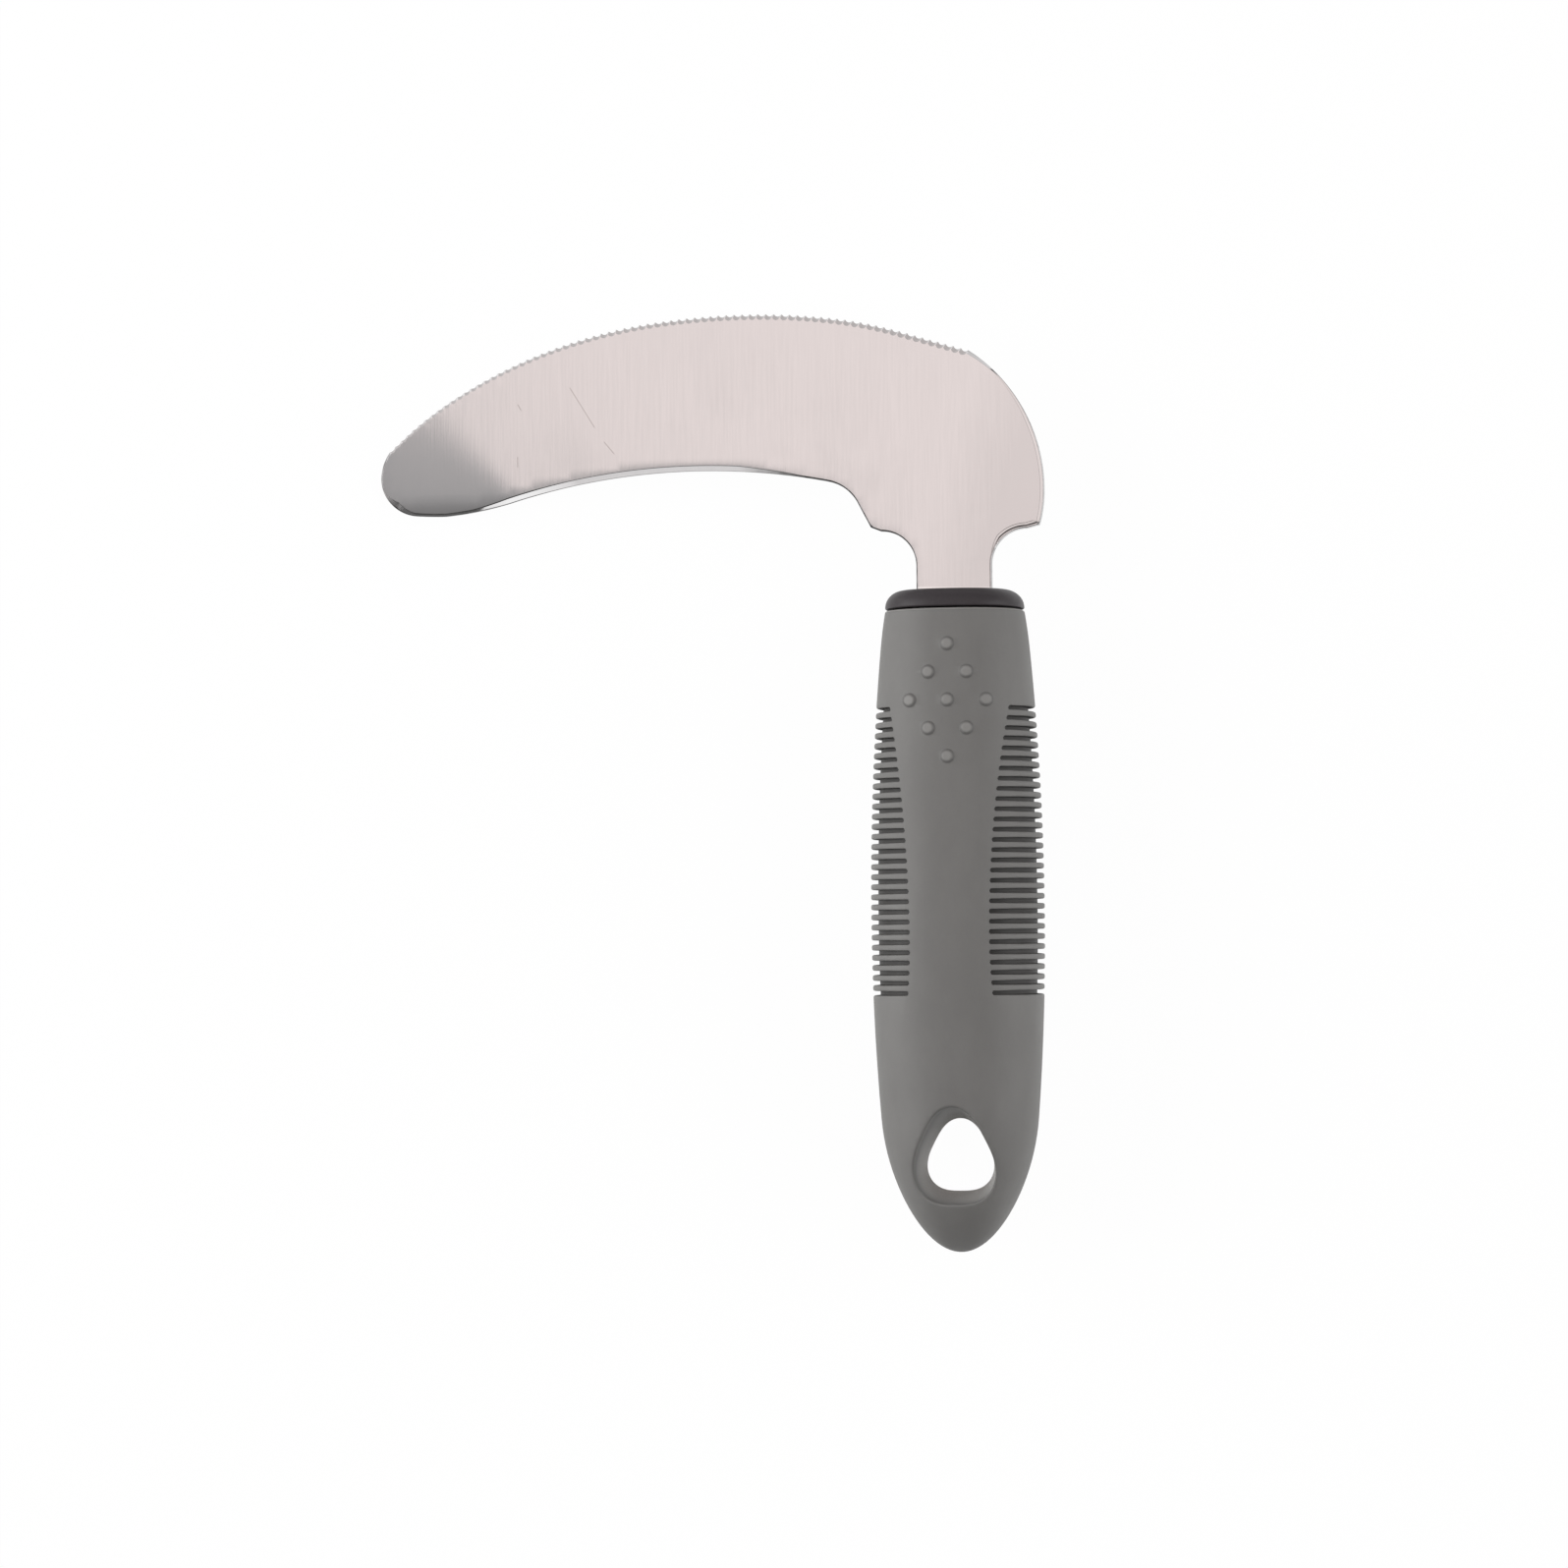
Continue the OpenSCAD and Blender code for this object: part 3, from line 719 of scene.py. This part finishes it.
def drawnIn(outline, outward, inset):
    # Points that would cross at a corner are spread between their sound neighbours
    flat = outline - outward * inset[:, None]
    ahead = np.roll(outline, -1, axis=0) - outline
    reach = (ahead ** 2).sum(axis=1)
    away = flat[:, None] - outline[None]
    share = np.clip((away * ahead).sum(axis=2) / reach, 0, 1)
    gap = np.linalg.norm(away - share[:, :, None] * ahead, axis=2).min(axis=1)
    leastShare, slack = 0.96, 0.002
    sound = np.flatnonzero(gap > inset * leastShare - slack)
    count, at = len(outline), np.arange(len(outline))
    known = np.concatenate([sound - count, sound, sound + count])
    return np.column_stack([np.interp(at, known, np.tile(flat[sound, k], 3)) for k in (0, 1)])


def edgeProfile(width, drop, crease, toe, bevelShade, lineShade, lineFrom, lineTo):
    lean = np.arctan2(drop, width)
    run = crease * np.tan(lean / 2)
    foot = toe * np.tan((pi / 2 - lean) / 2)
    steps = []
    for share, line in ((0, 0), (0.25, 0.9), (0.5, 1), (0.75, 0.9), (1, 0)):
        turn = lean * share
        steps.append((width + run - crease * np.sin(turn), crease * (1 - np.cos(turn)),
                      lineShade * line + (bevelShade if share == 1 else 0)))
    outer = np.where(lineTo > 0.9, lineShade, bevelShade * 0.5)
    toes = []
    for share in (0, 0.35, 0.7, 1):
        turn = lean + (pi / 2 - lean) * share
        toes.append((toe * (1 - np.sin(turn)), drop + foot - toe * np.cos(turn), outer))
    for share, shade in ((lineFrom, bevelShade), (lineFrom + 0.06, lineShade),
                         (lineTo - 0.06, lineShade), (lineTo, outer)):
        steps.append((steps[4][0] + (toes[0][0] - steps[4][0]) * share,
                      steps[4][1] + (toes[0][1] - steps[4][1]) * share, shade))
    return steps + toes


def fillFace(ring, spacing):
    low, high = ring.min(axis=0), ring.max(axis=0)
    rowGap, clear = spacing * 0.866, spacing * 0.6
    inner = []
    for j, y in enumerate(np.arange(low[1], high[1], rowGap)):
        for x in np.arange(low[0] + spacing / 2 * (j % 2), high[0], spacing):
            if np.hypot(ring[:, 0] - x, ring[:, 1] - y).min() > clear:
                inner.append((x, y))
    count = len(ring)
    points = [Vector(p) for p in ring] + [Vector(p) for p in inner]
    edges = [(i, (i + 1) % count) for i in range(count)]
    made, _, triangles, origin, _, _ = geometry.delaunay_2d_cdt(points, edges, [], 1, 1e-6)
    return made, triangles, origin


def bladePlate():
    outline, part, bands, heelTop = bladeOutline()
    outward = outwardOf(outline)
    fade = np.clip(1 - np.hypot(*(outline - heelTop).T) / teeth["runOut"], 0, 1) * (part == "heel")
    ground = fade + (part == "edge")
    worked = bands * (1 - fade[:, None]) + np.array(edgeForms["runOut"]) * fade[:, None]
    thick = blade["thickness"] / 2
    backBand = blade["backRound"] * (1 - ground) + teeth["land"] * ground
    rings, shades = [], []
    for inset, fall, shade in edgeProfile(*worked.T):
        flat = drawnIn(outline, outward, inset)
        lower = frontFall(flat[:, 0], flat[:, 1])
        room = blade["thickness"] - 2 * backBand
        share = np.clip(fall / room, 0, 1)
        rings.append(np.column_stack([flat, thick - fall - lower * (1 - share)]))
        shades.append(shade + 0 * inset)
    for a in np.radians([90, 60, 30, 0]):
        flat = drawnIn(outline, outward, backBand * (1 - sin(a)))
        rings.append(np.column_stack([flat, -thick + backBand * (1 - cos(a))]))
        shades.append(worked[:, 5] * sin(a))
    count = len(outline)
    # The painted shade of the edge lines comes and goes along the edge, as a sheared burr breaks it
    # up
    run = np.arange(count) * blade["pointGap"]
    quick, slow = blade["burrWaves"]
    burr = 1 - blade["burr"] * (0.5 + 0.5 * np.sin(run * quick) * np.sin(run * slow + 1))
    points = [tuple(p) for ring in rings for p in ring]
    faces = ringWalls(len(rings), count)
    for number, spacing, facing in ((0, blade["frontGrid"], 1),
                                    (len(rings) - 1, blade["backGrid"], -1)):
        flat = rings[number][:, :2]
        made, triangles, origin = fillFace(flat, spacing)
        index = []
        for spot, sources in zip(made, origin):
            known = [s for s in sources if s < count]
            if known:
                index.append(number * count + known[0])
            else:
                index.append(len(points))
                z = thick - frontFall(spot[0], spot[1]) if facing > 0 else -thick
                points.append((spot[0], spot[1], float(z)))
        faces += [tuple(index[i] for i in (t if facing > 0 else reversed(t))) for t in triangles]
    obj = newObject("bladePlate", points, faces)
    # edgeShade is painted shade along the worked edges, and a painted highlight where it is below
    # zero
    shade = np.zeros(len(points))
    shade[:len(rings) * count] = np.concatenate([values * burr for values in shades])
    storeValues(obj, "edgeShade", shade)
    outwardFaces(obj)
    return obj, np.vstack([heelTop, outline[part == "edge"]])


def edgeCurve(points):
    curve = bpy.data.curves.new("cuttingEdge", "CURVE")
    curve.dimensions = "3D"
    spline = curve.splines.new("POLY")
    spline.points.add(len(points) - 1)
    spline.points.foreach_set("co", [v for x, y in points for v in (x, y, 0, 1)])
    return inScene("cuttingEdge", curve)


def serrationTree(values):
    tree, source = shapeTree("serrateEdge", values)
    halfTooth = 0.5 / source["Teeth"]
    middles = shapeNode(tree, "TrimCurve", {"mode": "FACTOR"},
                        Curve=shapeOf(tree, source["Cutting Edge"]), Start=halfTooth,
                        End=1.0 - halfTooth)
    spots = shapeNode(tree, "CurveToPoints", {"mode": "COUNT"}, Curve=middles,
                      Count=source["Teeth"])
    across = calcVector("CROSS_PRODUCT", spots["Tangent"], (0.0, 0.0, 1.0))
    outward = calcVector("NORMALIZE", across)
    tilt = calc("ARCTAN2", source["Bevel Width"], source["Bevel Height"])
    sine, cosine = calc("SINE", tilt), calc("COSINE", tilt)
    upward = addNode(tree, "ShaderNodeCombineXYZ", Z=1.0)
    axis = calcVector("SUBTRACT", scaled(upward, cosine), scaled(outward, sine))
    away = calcVector("ADD", scaled(outward, cosine), scaled(upward, sine))
    turned = addNode(tree, "FunctionNodeAlignRotationToVector", {"axis": "Z"}, Vector=axis)
    inset = scaled(outward, source["Bevel Width"] * -0.5)
    lifted = addNode(tree, "ShaderNodeCombineXYZ", Z=source["Bevel Middle"])
    # Scoops get shallower towards the nose, where the grinding wheel is lifted off
    reach = shapeNode(tree, "InputIndex") / source["Teeth"]
    depth = source["Scallop Depth"] * remap(reach, source["Shallow From"], 1.0, 1.0,
                                            source["Shallow Depth"])
    clear = scaled(away, source["Scallop Radius"] - depth)
    # The shift is worked out on the points, before the tools stand on them
    moved = shapeNode(tree, "SetPosition", Geometry=spots,
                      Offset=calcVector("ADD", calcVector("ADD", inset, lifted), clear))
    tool = shapeNode(tree, "MeshCylinder", Vertices=source["Segments"],
                     Radius=source["Scallop Radius"], Depth=source["Tool Length"])
    placed = shapeNode(tree, "InstanceOnPoints", Points=moved, Instance=tool, Rotation=turned)
    tools = shapeNode(tree, "RealizeInstances", Geometry=placed)
    # The scoop faces are marked for painted shade in the steel
    shaded = shapeNode(tree, "StoreNamedAttribute", {"data_type": "FLOAT", "domain": "FACE"},
                       Geometry=tools, Name="scoopShade", Value=source["Scoop Shade"])
    return endTree(tree, source, joinedMesh(tree, "DIFFERENCE", shaded, source["Geometry"]))


# Materials


def effectGroup(name, inputs, outputs):
    tree = bpy.data.node_groups.new(name, "ShaderNodeTree")
    for label, value in {"Vector": (0, 0, 0), **inputs}.items():
        kind = "NodeSocketVector" if isinstance(value, tuple) else "NodeSocketFloat"
        tree.interface.new_socket(label, in_out="INPUT", socket_type=kind).default_value = value
    for label in outputs:
        tree.interface.new_socket(label, in_out="OUTPUT", socket_type="NodeSocketFloat")
    return tree, Wire(tree.nodes.new("NodeGroupInput")), tree.nodes.new("NodeGroupOutput").inputs


def grainGroup():
    tree, source, out = effectGroup(
        "surfaceGrain", {"Stretch": (1, 1, 1), "Size": 0.001, "Detail": 3.0}, ["Height", "Mask"])
    stretched = calcVector("MULTIPLY", source["Vector"], source["Stretch"])
    noise = addNode(tree, "ShaderNodeTexNoise", {"noise_dimensions": "3D"}, Vector=stretched,
                    Scale=1.0 / source["Size"], Detail=source["Detail"], Roughness=0.6)["Fac"]
    feed(out["Height"], noise)
    feed(out["Mask"], eased(noise, 0.3, 0.7))
    return tree


def smudgeGroup():
    tree, source, out = effectGroup("handlingMarks", {"Size": 0.02}, ["Mask"])
    perSize = 1.0 / source["Size"]
    cloud = addNode(tree, "ShaderNodeTexNoise", Vector=source["Vector"], Scale=perSize, Detail=4.0,
                    Roughness=0.55, Distortion=0.6)["Fac"]
    patch = addNode(tree, "ShaderNodeTexNoise", Vector=source["Vector"], Scale=perSize * 0.35,
                    Detail=1.0)["Fac"]
    feed(out["Mask"], eased(cloud, 0.42, 0.68) * eased(patch, 0.4, 0.65))
    return tree


def scratchGroup():
    tree, source, out = effectGroup(
        "singleScratch", {"Start": (0, 0, 0), "End": (0.01, 0, 0), "Width": 0.0001}, ["Mask"])
    level = calcVector("MULTIPLY", source["Vector"], (1.0, 1.0, 0.0))
    along = calcVector("SUBTRACT", source["End"], source["Start"])
    offset = calcVector("SUBTRACT", level, source["Start"])
    share = calcVector("DOT_PRODUCT", offset, along) / calcVector("DOT_PRODUCT", along, along)
    away = calcVector("SUBTRACT", offset, scaled(along, kept(share, 0.0, 1.0)))
    feed(out["Mask"], remap(calcVector("LENGTH", away), 0.0, source["Width"], 1.0, 0.0))
    return tree


effects = {"grain": grainGroup(), "smudges": smudgeGroup(), "scratch": scratchGroup()}


def newMaterial(name):
    material = bpy.data.materials.new(name)
    material.use_nodes = True
    tree = material.node_tree
    where = addNode(tree, "ShaderNodeTexCoord")["Object"]
    return material, tree, tree.nodes["Principled BSDF"], where


def placeEffect(name, where, **values):
    return addNode(where.socket.id_data, "ShaderNodeGroup", {"node_tree": effects[name]},
                   Vector=where, **values)


def surfaceValue(tree, name):
    return addNode(tree, "ShaderNodeAttribute", {"attribute_name": name})["Fac"]


def mixColours(factor, first, second):
    return addNode(factor.socket.id_data, "ShaderNodeMix", {"data_type": "RGBA"},
                   Factor=factor, A=first, B=second)["Result"]


def dress(shader, colour, roughness, height, bump):
    strength, distance = bump
    normal = addNode(shader.id_data, "ShaderNodeBump", Height=height, Strength=strength,
                     Distance=distance)
    feed(shader.inputs["Base Color"], colour)
    feed(shader.inputs["Roughness"], roughness)
    feed(shader.inputs["Normal"], normal)


steel = {
    "light": (0.727, 0.706, 0.71, 1), "dark": (0.645, 0.627, 0.63, 1),
    # The next two colours paint shade on the worked edges and in the scoops, the pale one after
    # them paints highlights
    "edge": (0.022, 0.019, 0.018, 1), "scooped": (0.1, 0.052, 0.042, 1),
    "polished": (0.92, 0.92, 0.92, 1), "scratched": (0.48, 0.455, 0.445, 1),
    "roughness": 0.13, "grainRoughness": 0.02, "markRoughness": 0.04, "edgeRoughness": 0.25,
    "bump": (0.2, 0.00002), "grainSize": 0.0003, "grainStretch": (1.0, 0.015, 1.0),
    "grainTone": 0.22, "streakSize": 0.0022, "streakStretch": (1.0, 0.06, 1.0),
    "streakTone": 0.07, "markSize": 0.016, "markTone": 0.15,
    "heelDull": (68.0, -24.0, 0.0), "heelDullFrom": 1.55,
    "footLine": ((0.0338, 0.0346, 0), (0.05485, 0.0342, 0)), "footLineWidth": 0.00025,
    "scratchWidth": 0.00013,
    "scratches": [((-0.02545, 0.07205, 0), (-0.02099, 0.06477, 0)),
                  ((-0.01921, 0.06204, 0), (-0.01742, 0.05985, 0)),
                  ((-0.03509, 0.06921, 0), (-0.0345, 0.0682, 0)),
                  ((-0.0352, 0.0596, 0), (-0.0352, 0.0578, 0))]}


def satinSteel():
    material, tree, shader, where = newMaterial("satinSteel")
    grain = placeEffect("grain", where, Stretch=steel["grainStretch"], Size=steel["grainSize"],
                        Detail=3.0)
    streaks = placeEffect("grain", where, Stretch=steel["streakStretch"],
                          Size=steel["streakSize"], Detail=2.0)
    marks = placeEffect("smudges", where, Size=steel["markSize"])
    # The polish is duller towards the heel and the neck
    heel = calcVector("DOT_PRODUCT", where, steel["heelDull"]) - steel["heelDullFrom"]
    tone = (grain["Mask"] * steel["grainTone"] + streaks["Mask"] * steel["streakTone"]
            + marks * steel["markTone"] + calc("MAXIMUM", heel, 0.0))
    colour = mixColours(tone, steel["light"], steel["dark"])
    # The scratches are real marks; the line across the neck's foot is a painted highlight where the
    # plate enters the collar
    lines = [(ends, "scratchWidth", "scratched") for ends in steel["scratches"]]
    for (start, end), width, look in [*lines, (steel["footLine"], "footLineWidth", "polished")]:
        line = placeEffect("scratch", where, Start=start, End=end, Width=steel[width])
        colour = mixColours(line, colour, steel[look])
    # Painted shade on the scoops and the worked edges, and a painted highlight where the edge shade
    # is below zero
    worked, scooped = surfaceValue(tree, "edgeShade"), surfaceValue(tree, "scoopShade")
    for mask, look in ((scooped, "scooped"), (worked, "edge"), (worked * -1.0, "polished")):
        colour = mixColours(mask, colour, steel[look])
    rough = (grain["Mask"] * steel["grainRoughness"] + steel["roughness"]
             + marks * steel["markRoughness"]
             + calc("MAXIMUM", worked, scooped) * steel["edgeRoughness"])
    shader.inputs["Metallic"].default_value = 1.0
    dress(shader, colour, rough, grain["Height"], steel["bump"])
    return material


rubber = {
    "light": (0.146, 0.144, 0.139, 1), "dark": (0.124, 0.122, 0.118, 1),
    # The pale tone is partly dust and partly painted light; the darkest paints shade in the grooves
    # and round the bumps' feet; the one after it is wear and a painted highlight
    "dusty": (0.66, 0.65, 0.63, 1), "groove": (0.035, 0.033, 0.031, 1),
    "rubbed": (0.2, 0.197, 0.19, 1), "roughness": 0.62, "markRoughness": -0.08,
    "dustRoughness": -0.25, "bump": (0.25, 0.00003), "grainSize": 0.00016, "grainTone": 0.35,
    "mottleSize": 0.007, "mottleStretch": (1.0, 0.6, 1.0), "mottleTone": 0.5, "markSize": 0.02,
    "footShade": 0.35, "footLift": (0.14, 0.3), "rubbedLift": (0.25, 0.42),
    "hiddenDepth": (0.25, 0.6), "leastDust": 0.75}


def softRubber():
    material, tree, shader, where = newMaterial("softRubber")
    grain = placeEffect("grain", where, Size=rubber["grainSize"], Detail=2.0)
    mottle = placeEffect("grain", where, Stretch=rubber["mottleStretch"],
                         Size=rubber["mottleSize"], Detail=5.0)
    marks = placeEffect("smudges", where, Size=rubber["markSize"])
    tone = mottle["Mask"] * rubber["mottleTone"] + grain["Mask"] * rubber["grainTone"]
    colour = mixColours(tone, rubber["light"], rubber["dark"])
    lift, dustAndPaintedLight = surfaceValue(tree, "lift"), surfaceValue(tree, "dustAndPaintedLight")
    # A painted shade ring round the foot of each bump
    foot = remap(lift, 0.0, 0.03, 0.0, rubber["footShade"]) * eased(
        lift, *rubber["footLift"], 1.0, 0.0)
    # The hang hole's walls are paler towards the waist: partly dust, partly painted light from
    # below
    speckled = dustAndPaintedLight * remap(grain["Mask"], 0.0, 1.0, rubber["leastDust"])
    # Painted shade on the groove floors, darker with depth
    grooveShadeMask = eased(surfaceValue(tree, "grooveShade"), *rubber["hiddenDepth"])
    # Bump tops are lighter from wear and a painted highlight, and the lip from a painted highlight
    rubbed = eased(lift, *rubber["rubbedLift"])
    for mask, look in ((grooveShadeMask, "groove"), (rubbed, "rubbed"), (foot, "groove"),
                       (speckled, "dusty")):
        colour = mixColours(mask, colour, rubber[look])
    rough = (marks * rubber["markRoughness"] + rubber["roughness"]
             + dustAndPaintedLight * rubber["dustRoughness"])
    dress(shader, colour, rough, grain["Height"], rubber["bump"])
    return material


plastic = {
    "light": (0.041, 0.036, 0.039, 1), "dark": (0.03, 0.026, 0.028, 1), "roughness": 0.42,
    "markRoughness": 0.1, "specular": 0.19, "bump": (0.15, 0.00003), "grainSize": 0.0002,
    "grainTone": 0.6, "markSize": 0.006}


def darkPlastic():
    material, tree, shader, where = newMaterial("darkPlastic")
    grain = placeEffect("grain", where, Size=plastic["grainSize"], Detail=2.0)
    marks = placeEffect("smudges", where, Size=plastic["markSize"])
    colour = mixColours(grain["Mask"] * plastic["grainTone"], plastic["light"], plastic["dark"])
    shader.inputs["Specular IOR Level"].default_value = plastic["specular"]
    rough = marks * plastic["markRoughness"] + plastic["roughness"]
    dress(shader, colour, rough, grain["Height"], plastic["bump"])
    return material


# Build the three pieces

skin = gripSkin()
outwardFaces(skin)
helpers = {"Bump Spots": bumpLattice(), "Bump Button": bumpButton(), "Hole Cutter": holeCutter(),
           "Shank Cutter": shankCutter()}
for helper in helpers.values():
    outwardFaces(helper)
runTree(skin, gripTree, {
    "Groove Count": grooves["count"], "First Groove": grooves["firstAt"],
    "Groove Pitch": grooves["pitch"], "Groove Width": grooves["width"],
    "Groove Depth": grooves["depth"], "Wall": grooves["wall"], "Material": softRubber(), **helpers})
for helper in helpers.values():
    dropObject(helper)
softGrip = finishPiece(skin, "softGrip", 40)
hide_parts("grip")

plate, edgeLine = bladePlate()
cuttingEdge = edgeCurve(edgeLine)
edgeLength = float(np.hypot(*np.diff(edgeLine, axis=0).T).sum())
halfGap = (teeth["pitch"] - teeth["tip"]) / 2
scallopRadius = (halfGap ** 2 + teeth["depth"] ** 2) / (2 * teeth["depth"])
runTree(plate, serrationTree, {
    "Cutting Edge": cuttingEdge, "Teeth": round(edgeLength / teeth["pitch"]),
    "Scallop Radius": scallopRadius, "Scallop Depth": teeth["depth"],
    "Tool Length": teeth["toolLength"],
    "Bevel Width": teeth["bevel"], "Bevel Height": blade["thickness"] - 2 * teeth["land"],
    "Bevel Middle": teeth["land"], "Segments": teeth["segments"], "Scoop Shade": teeth["shade"],
    "Shallow From": teeth["shallowFrom"], "Shallow Depth": teeth["shallowDepth"],
    "Material": satinSteel()})
dropObject(cuttingEdge)
bladeSteel = finishPiece(plate, "bladeSteel", 30)
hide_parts("blade")


def collarCore():
    base = handle["length"]
    low = base - core["shankLength"]
    half, ringGap = handle["collarWidth"] / 2, 0.02
    rings = [shankRing(low, 0), shankRing(base + core["seamGap"], 0)]
    seam = core["seamRound"]
    for a in np.radians([0, 30, 60, 90]):
        rings.append(collarRing(half - seam * (1 - sin(a)),
                                base + core["seamGap"] + seam * (1 - cos(a))))
    top = base + core["collarHeight"] - core["dome"]
    start = base + core["seamGap"] + seam
    for a in np.radians(np.linspace(0, 90, core["shoulderRings"])):
        rings.append(collarRing(half - core["shoulder"] * (1 - cos(a)),
                                start + ringGap + (top - start - ringGap) * sin(a)))
    flat = half - core["shoulder"]
    for share in core["domeShares"]:
        rings.append(collarRing(flat * share, top + core["dome"] * (1 - share ** 2)))
    obj = closedLoft("coreCollar", rings, (0, low, 0), (0, top + core["dome"], 0))
    outwardFaces(obj)
    return obj


collar = collarCore()
collar.data.materials.append(darkPlastic())
coreCollar = finishPiece(collar, "coreCollar", 35)
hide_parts("core")

# Floor, world, lamps and camera

studio = {
    "zenith": 0.48, "zenithAt": 0.97, "horizon": 0.15, "nearShare": 0.55,
    "nearBand": (-0.3, 0.16), "floorSide": 6.0, "floorDiffuse": 0.9, "floorGlow": 0.97,
    "topLamp": {"place": (0.042, 0.594, 1.2), "towards": (0.042, 0.594, 0), "turnDeg": 45,
                "size": (1.3, 1.3), "power": 3.1, "colour": (1, 0.85, 0.81)},
    "leftLamp": {"place": (-1.18, 0.3, 0.55), "towards": (0, 0.3, 0), "power": 21.0},
    "rightLamp": {"place": (1.18, 0.0, 0.55), "towards": (0, 0, 0), "power": 12.0}}


def emptyTree(owner):
    owner.use_nodes = True
    owner.node_tree.nodes.clear()
    return owner.node_tree


def studioFloor():
    side = studio["floorSide"]
    floor = newObject("floor", [(-side, -side, 0), (side, -side, 0), (side, side, 0),
                                (-side, side, 0)], [(0, 1, 2, 3)])
    material = bpy.data.materials.new("paleFloor")
    tree = emptyTree(material)
    path = addNode(tree, "ShaderNodeLightPath")
    mirrored = calc("MAXIMUM", path["Is Glossy Ray"], path["Is Transmission Ray"])
    glowing = calc("MAXIMUM", path["Is Camera Ray"] * studio["floorGlow"], mirrored)
    plain = addNode(tree, "ShaderNodeBsdfDiffuse", Color=(studio["floorDiffuse"],) * 3 + (1,))
    glow = addNode(tree, "ShaderNodeEmission", Color=(1, 1, 1, 1), Strength=1.0)
    blend = tree.nodes.new("ShaderNodeMixShader")
    for socket, value in zip(blend.inputs, (glowing, plain, glow)):
        feed(socket, value)
    feed(tree.nodes.new("ShaderNodeOutputMaterial").inputs["Surface"], Wire(blend))
    floor.data.materials.append(material)


def studioWorld():
    world = bpy.data.worlds.new("studio")
    tree = emptyTree(world)
    towards = addNode(tree, "ShaderNodeTexCoord")["Generated"]
    direction = addNode(tree, "ShaderNodeSeparateXYZ", Vector=towards)
    level = remap(direction["Z"], 0.0, studio["zenithAt"], studio["horizon"], studio["zenith"])
    near = eased(direction["Y"], *studio["nearBand"], studio["nearShare"])
    sky = addNode(tree, "ShaderNodeBackground", Color=(1, 1, 1, 1), Strength=level * near)
    feed(tree.nodes.new("ShaderNodeOutputWorld").inputs["Surface"], sky)
    bpy.context.scene.world = world


def areaLamp(name):
    settings = studio[name]
    lamp = bpy.data.lights.new(name, "AREA")
    lamp.shape = "RECTANGLE"
    lamp.size, lamp.size_y = settings.get("size", (1.4, 1.1))
    lamp.energy = settings["power"]
    lamp.color = settings.get("colour", (1, 1, 1))
    aim = (Vector(settings["towards"]) - Vector(settings["place"])).to_track_quat("-Z", "Y")
    spin = Matrix.Rotation(radians(settings.get("turnDeg", 0)), 4, "Z")
    inScene(name, lamp).matrix_world = (
        Matrix.Translation(settings["place"]) @ aim.to_matrix().to_4x4() @ spin)


photoView = {
    "distance": 920.0, "across": -12.631, "up": 0.428, "tiltXDeg": -0.036, "tiltYDeg": -1.972,
    "turnDeg": 0.632, "focalPixels": 5109.9, "imagePixels": 1596, "clip": (0.05, 20)}


def studioCamera():
    turn = Matrix.Identity(3)
    for name, axis in (("turnDeg", "Z"), ("tiltXDeg", "X"), ("tiltYDeg", "Y")):
        turn = turn @ Matrix.Rotation(radians(photoView[name]), 3, axis)
    back = turn.transposed()
    data = bpy.data.cameras.new("photoCamera")
    data.sensor_fit = "HORIZONTAL"
    data.angle = 2 * atan(photoView["imagePixels"] / 2 / photoView["focalPixels"])
    data.clip_start, data.clip_end = photoView["clip"]
    spot = Vector((-photoView["across"], -photoView["up"], photoView["distance"])) * mm
    camera = inScene("photoCamera", data)
    camera.matrix_world = Matrix.Translation(back @ spot) @ back.to_4x4()
    bpy.context.scene.camera = camera


studioFloor()
studioWorld()
for lampName in ("topLamp", "leftLamp", "rightLamp"):
    areaLamp(lampName)
studioCamera()
bpy.context.scene.view_settings.view_transform = "Standard"
print("studio ready")
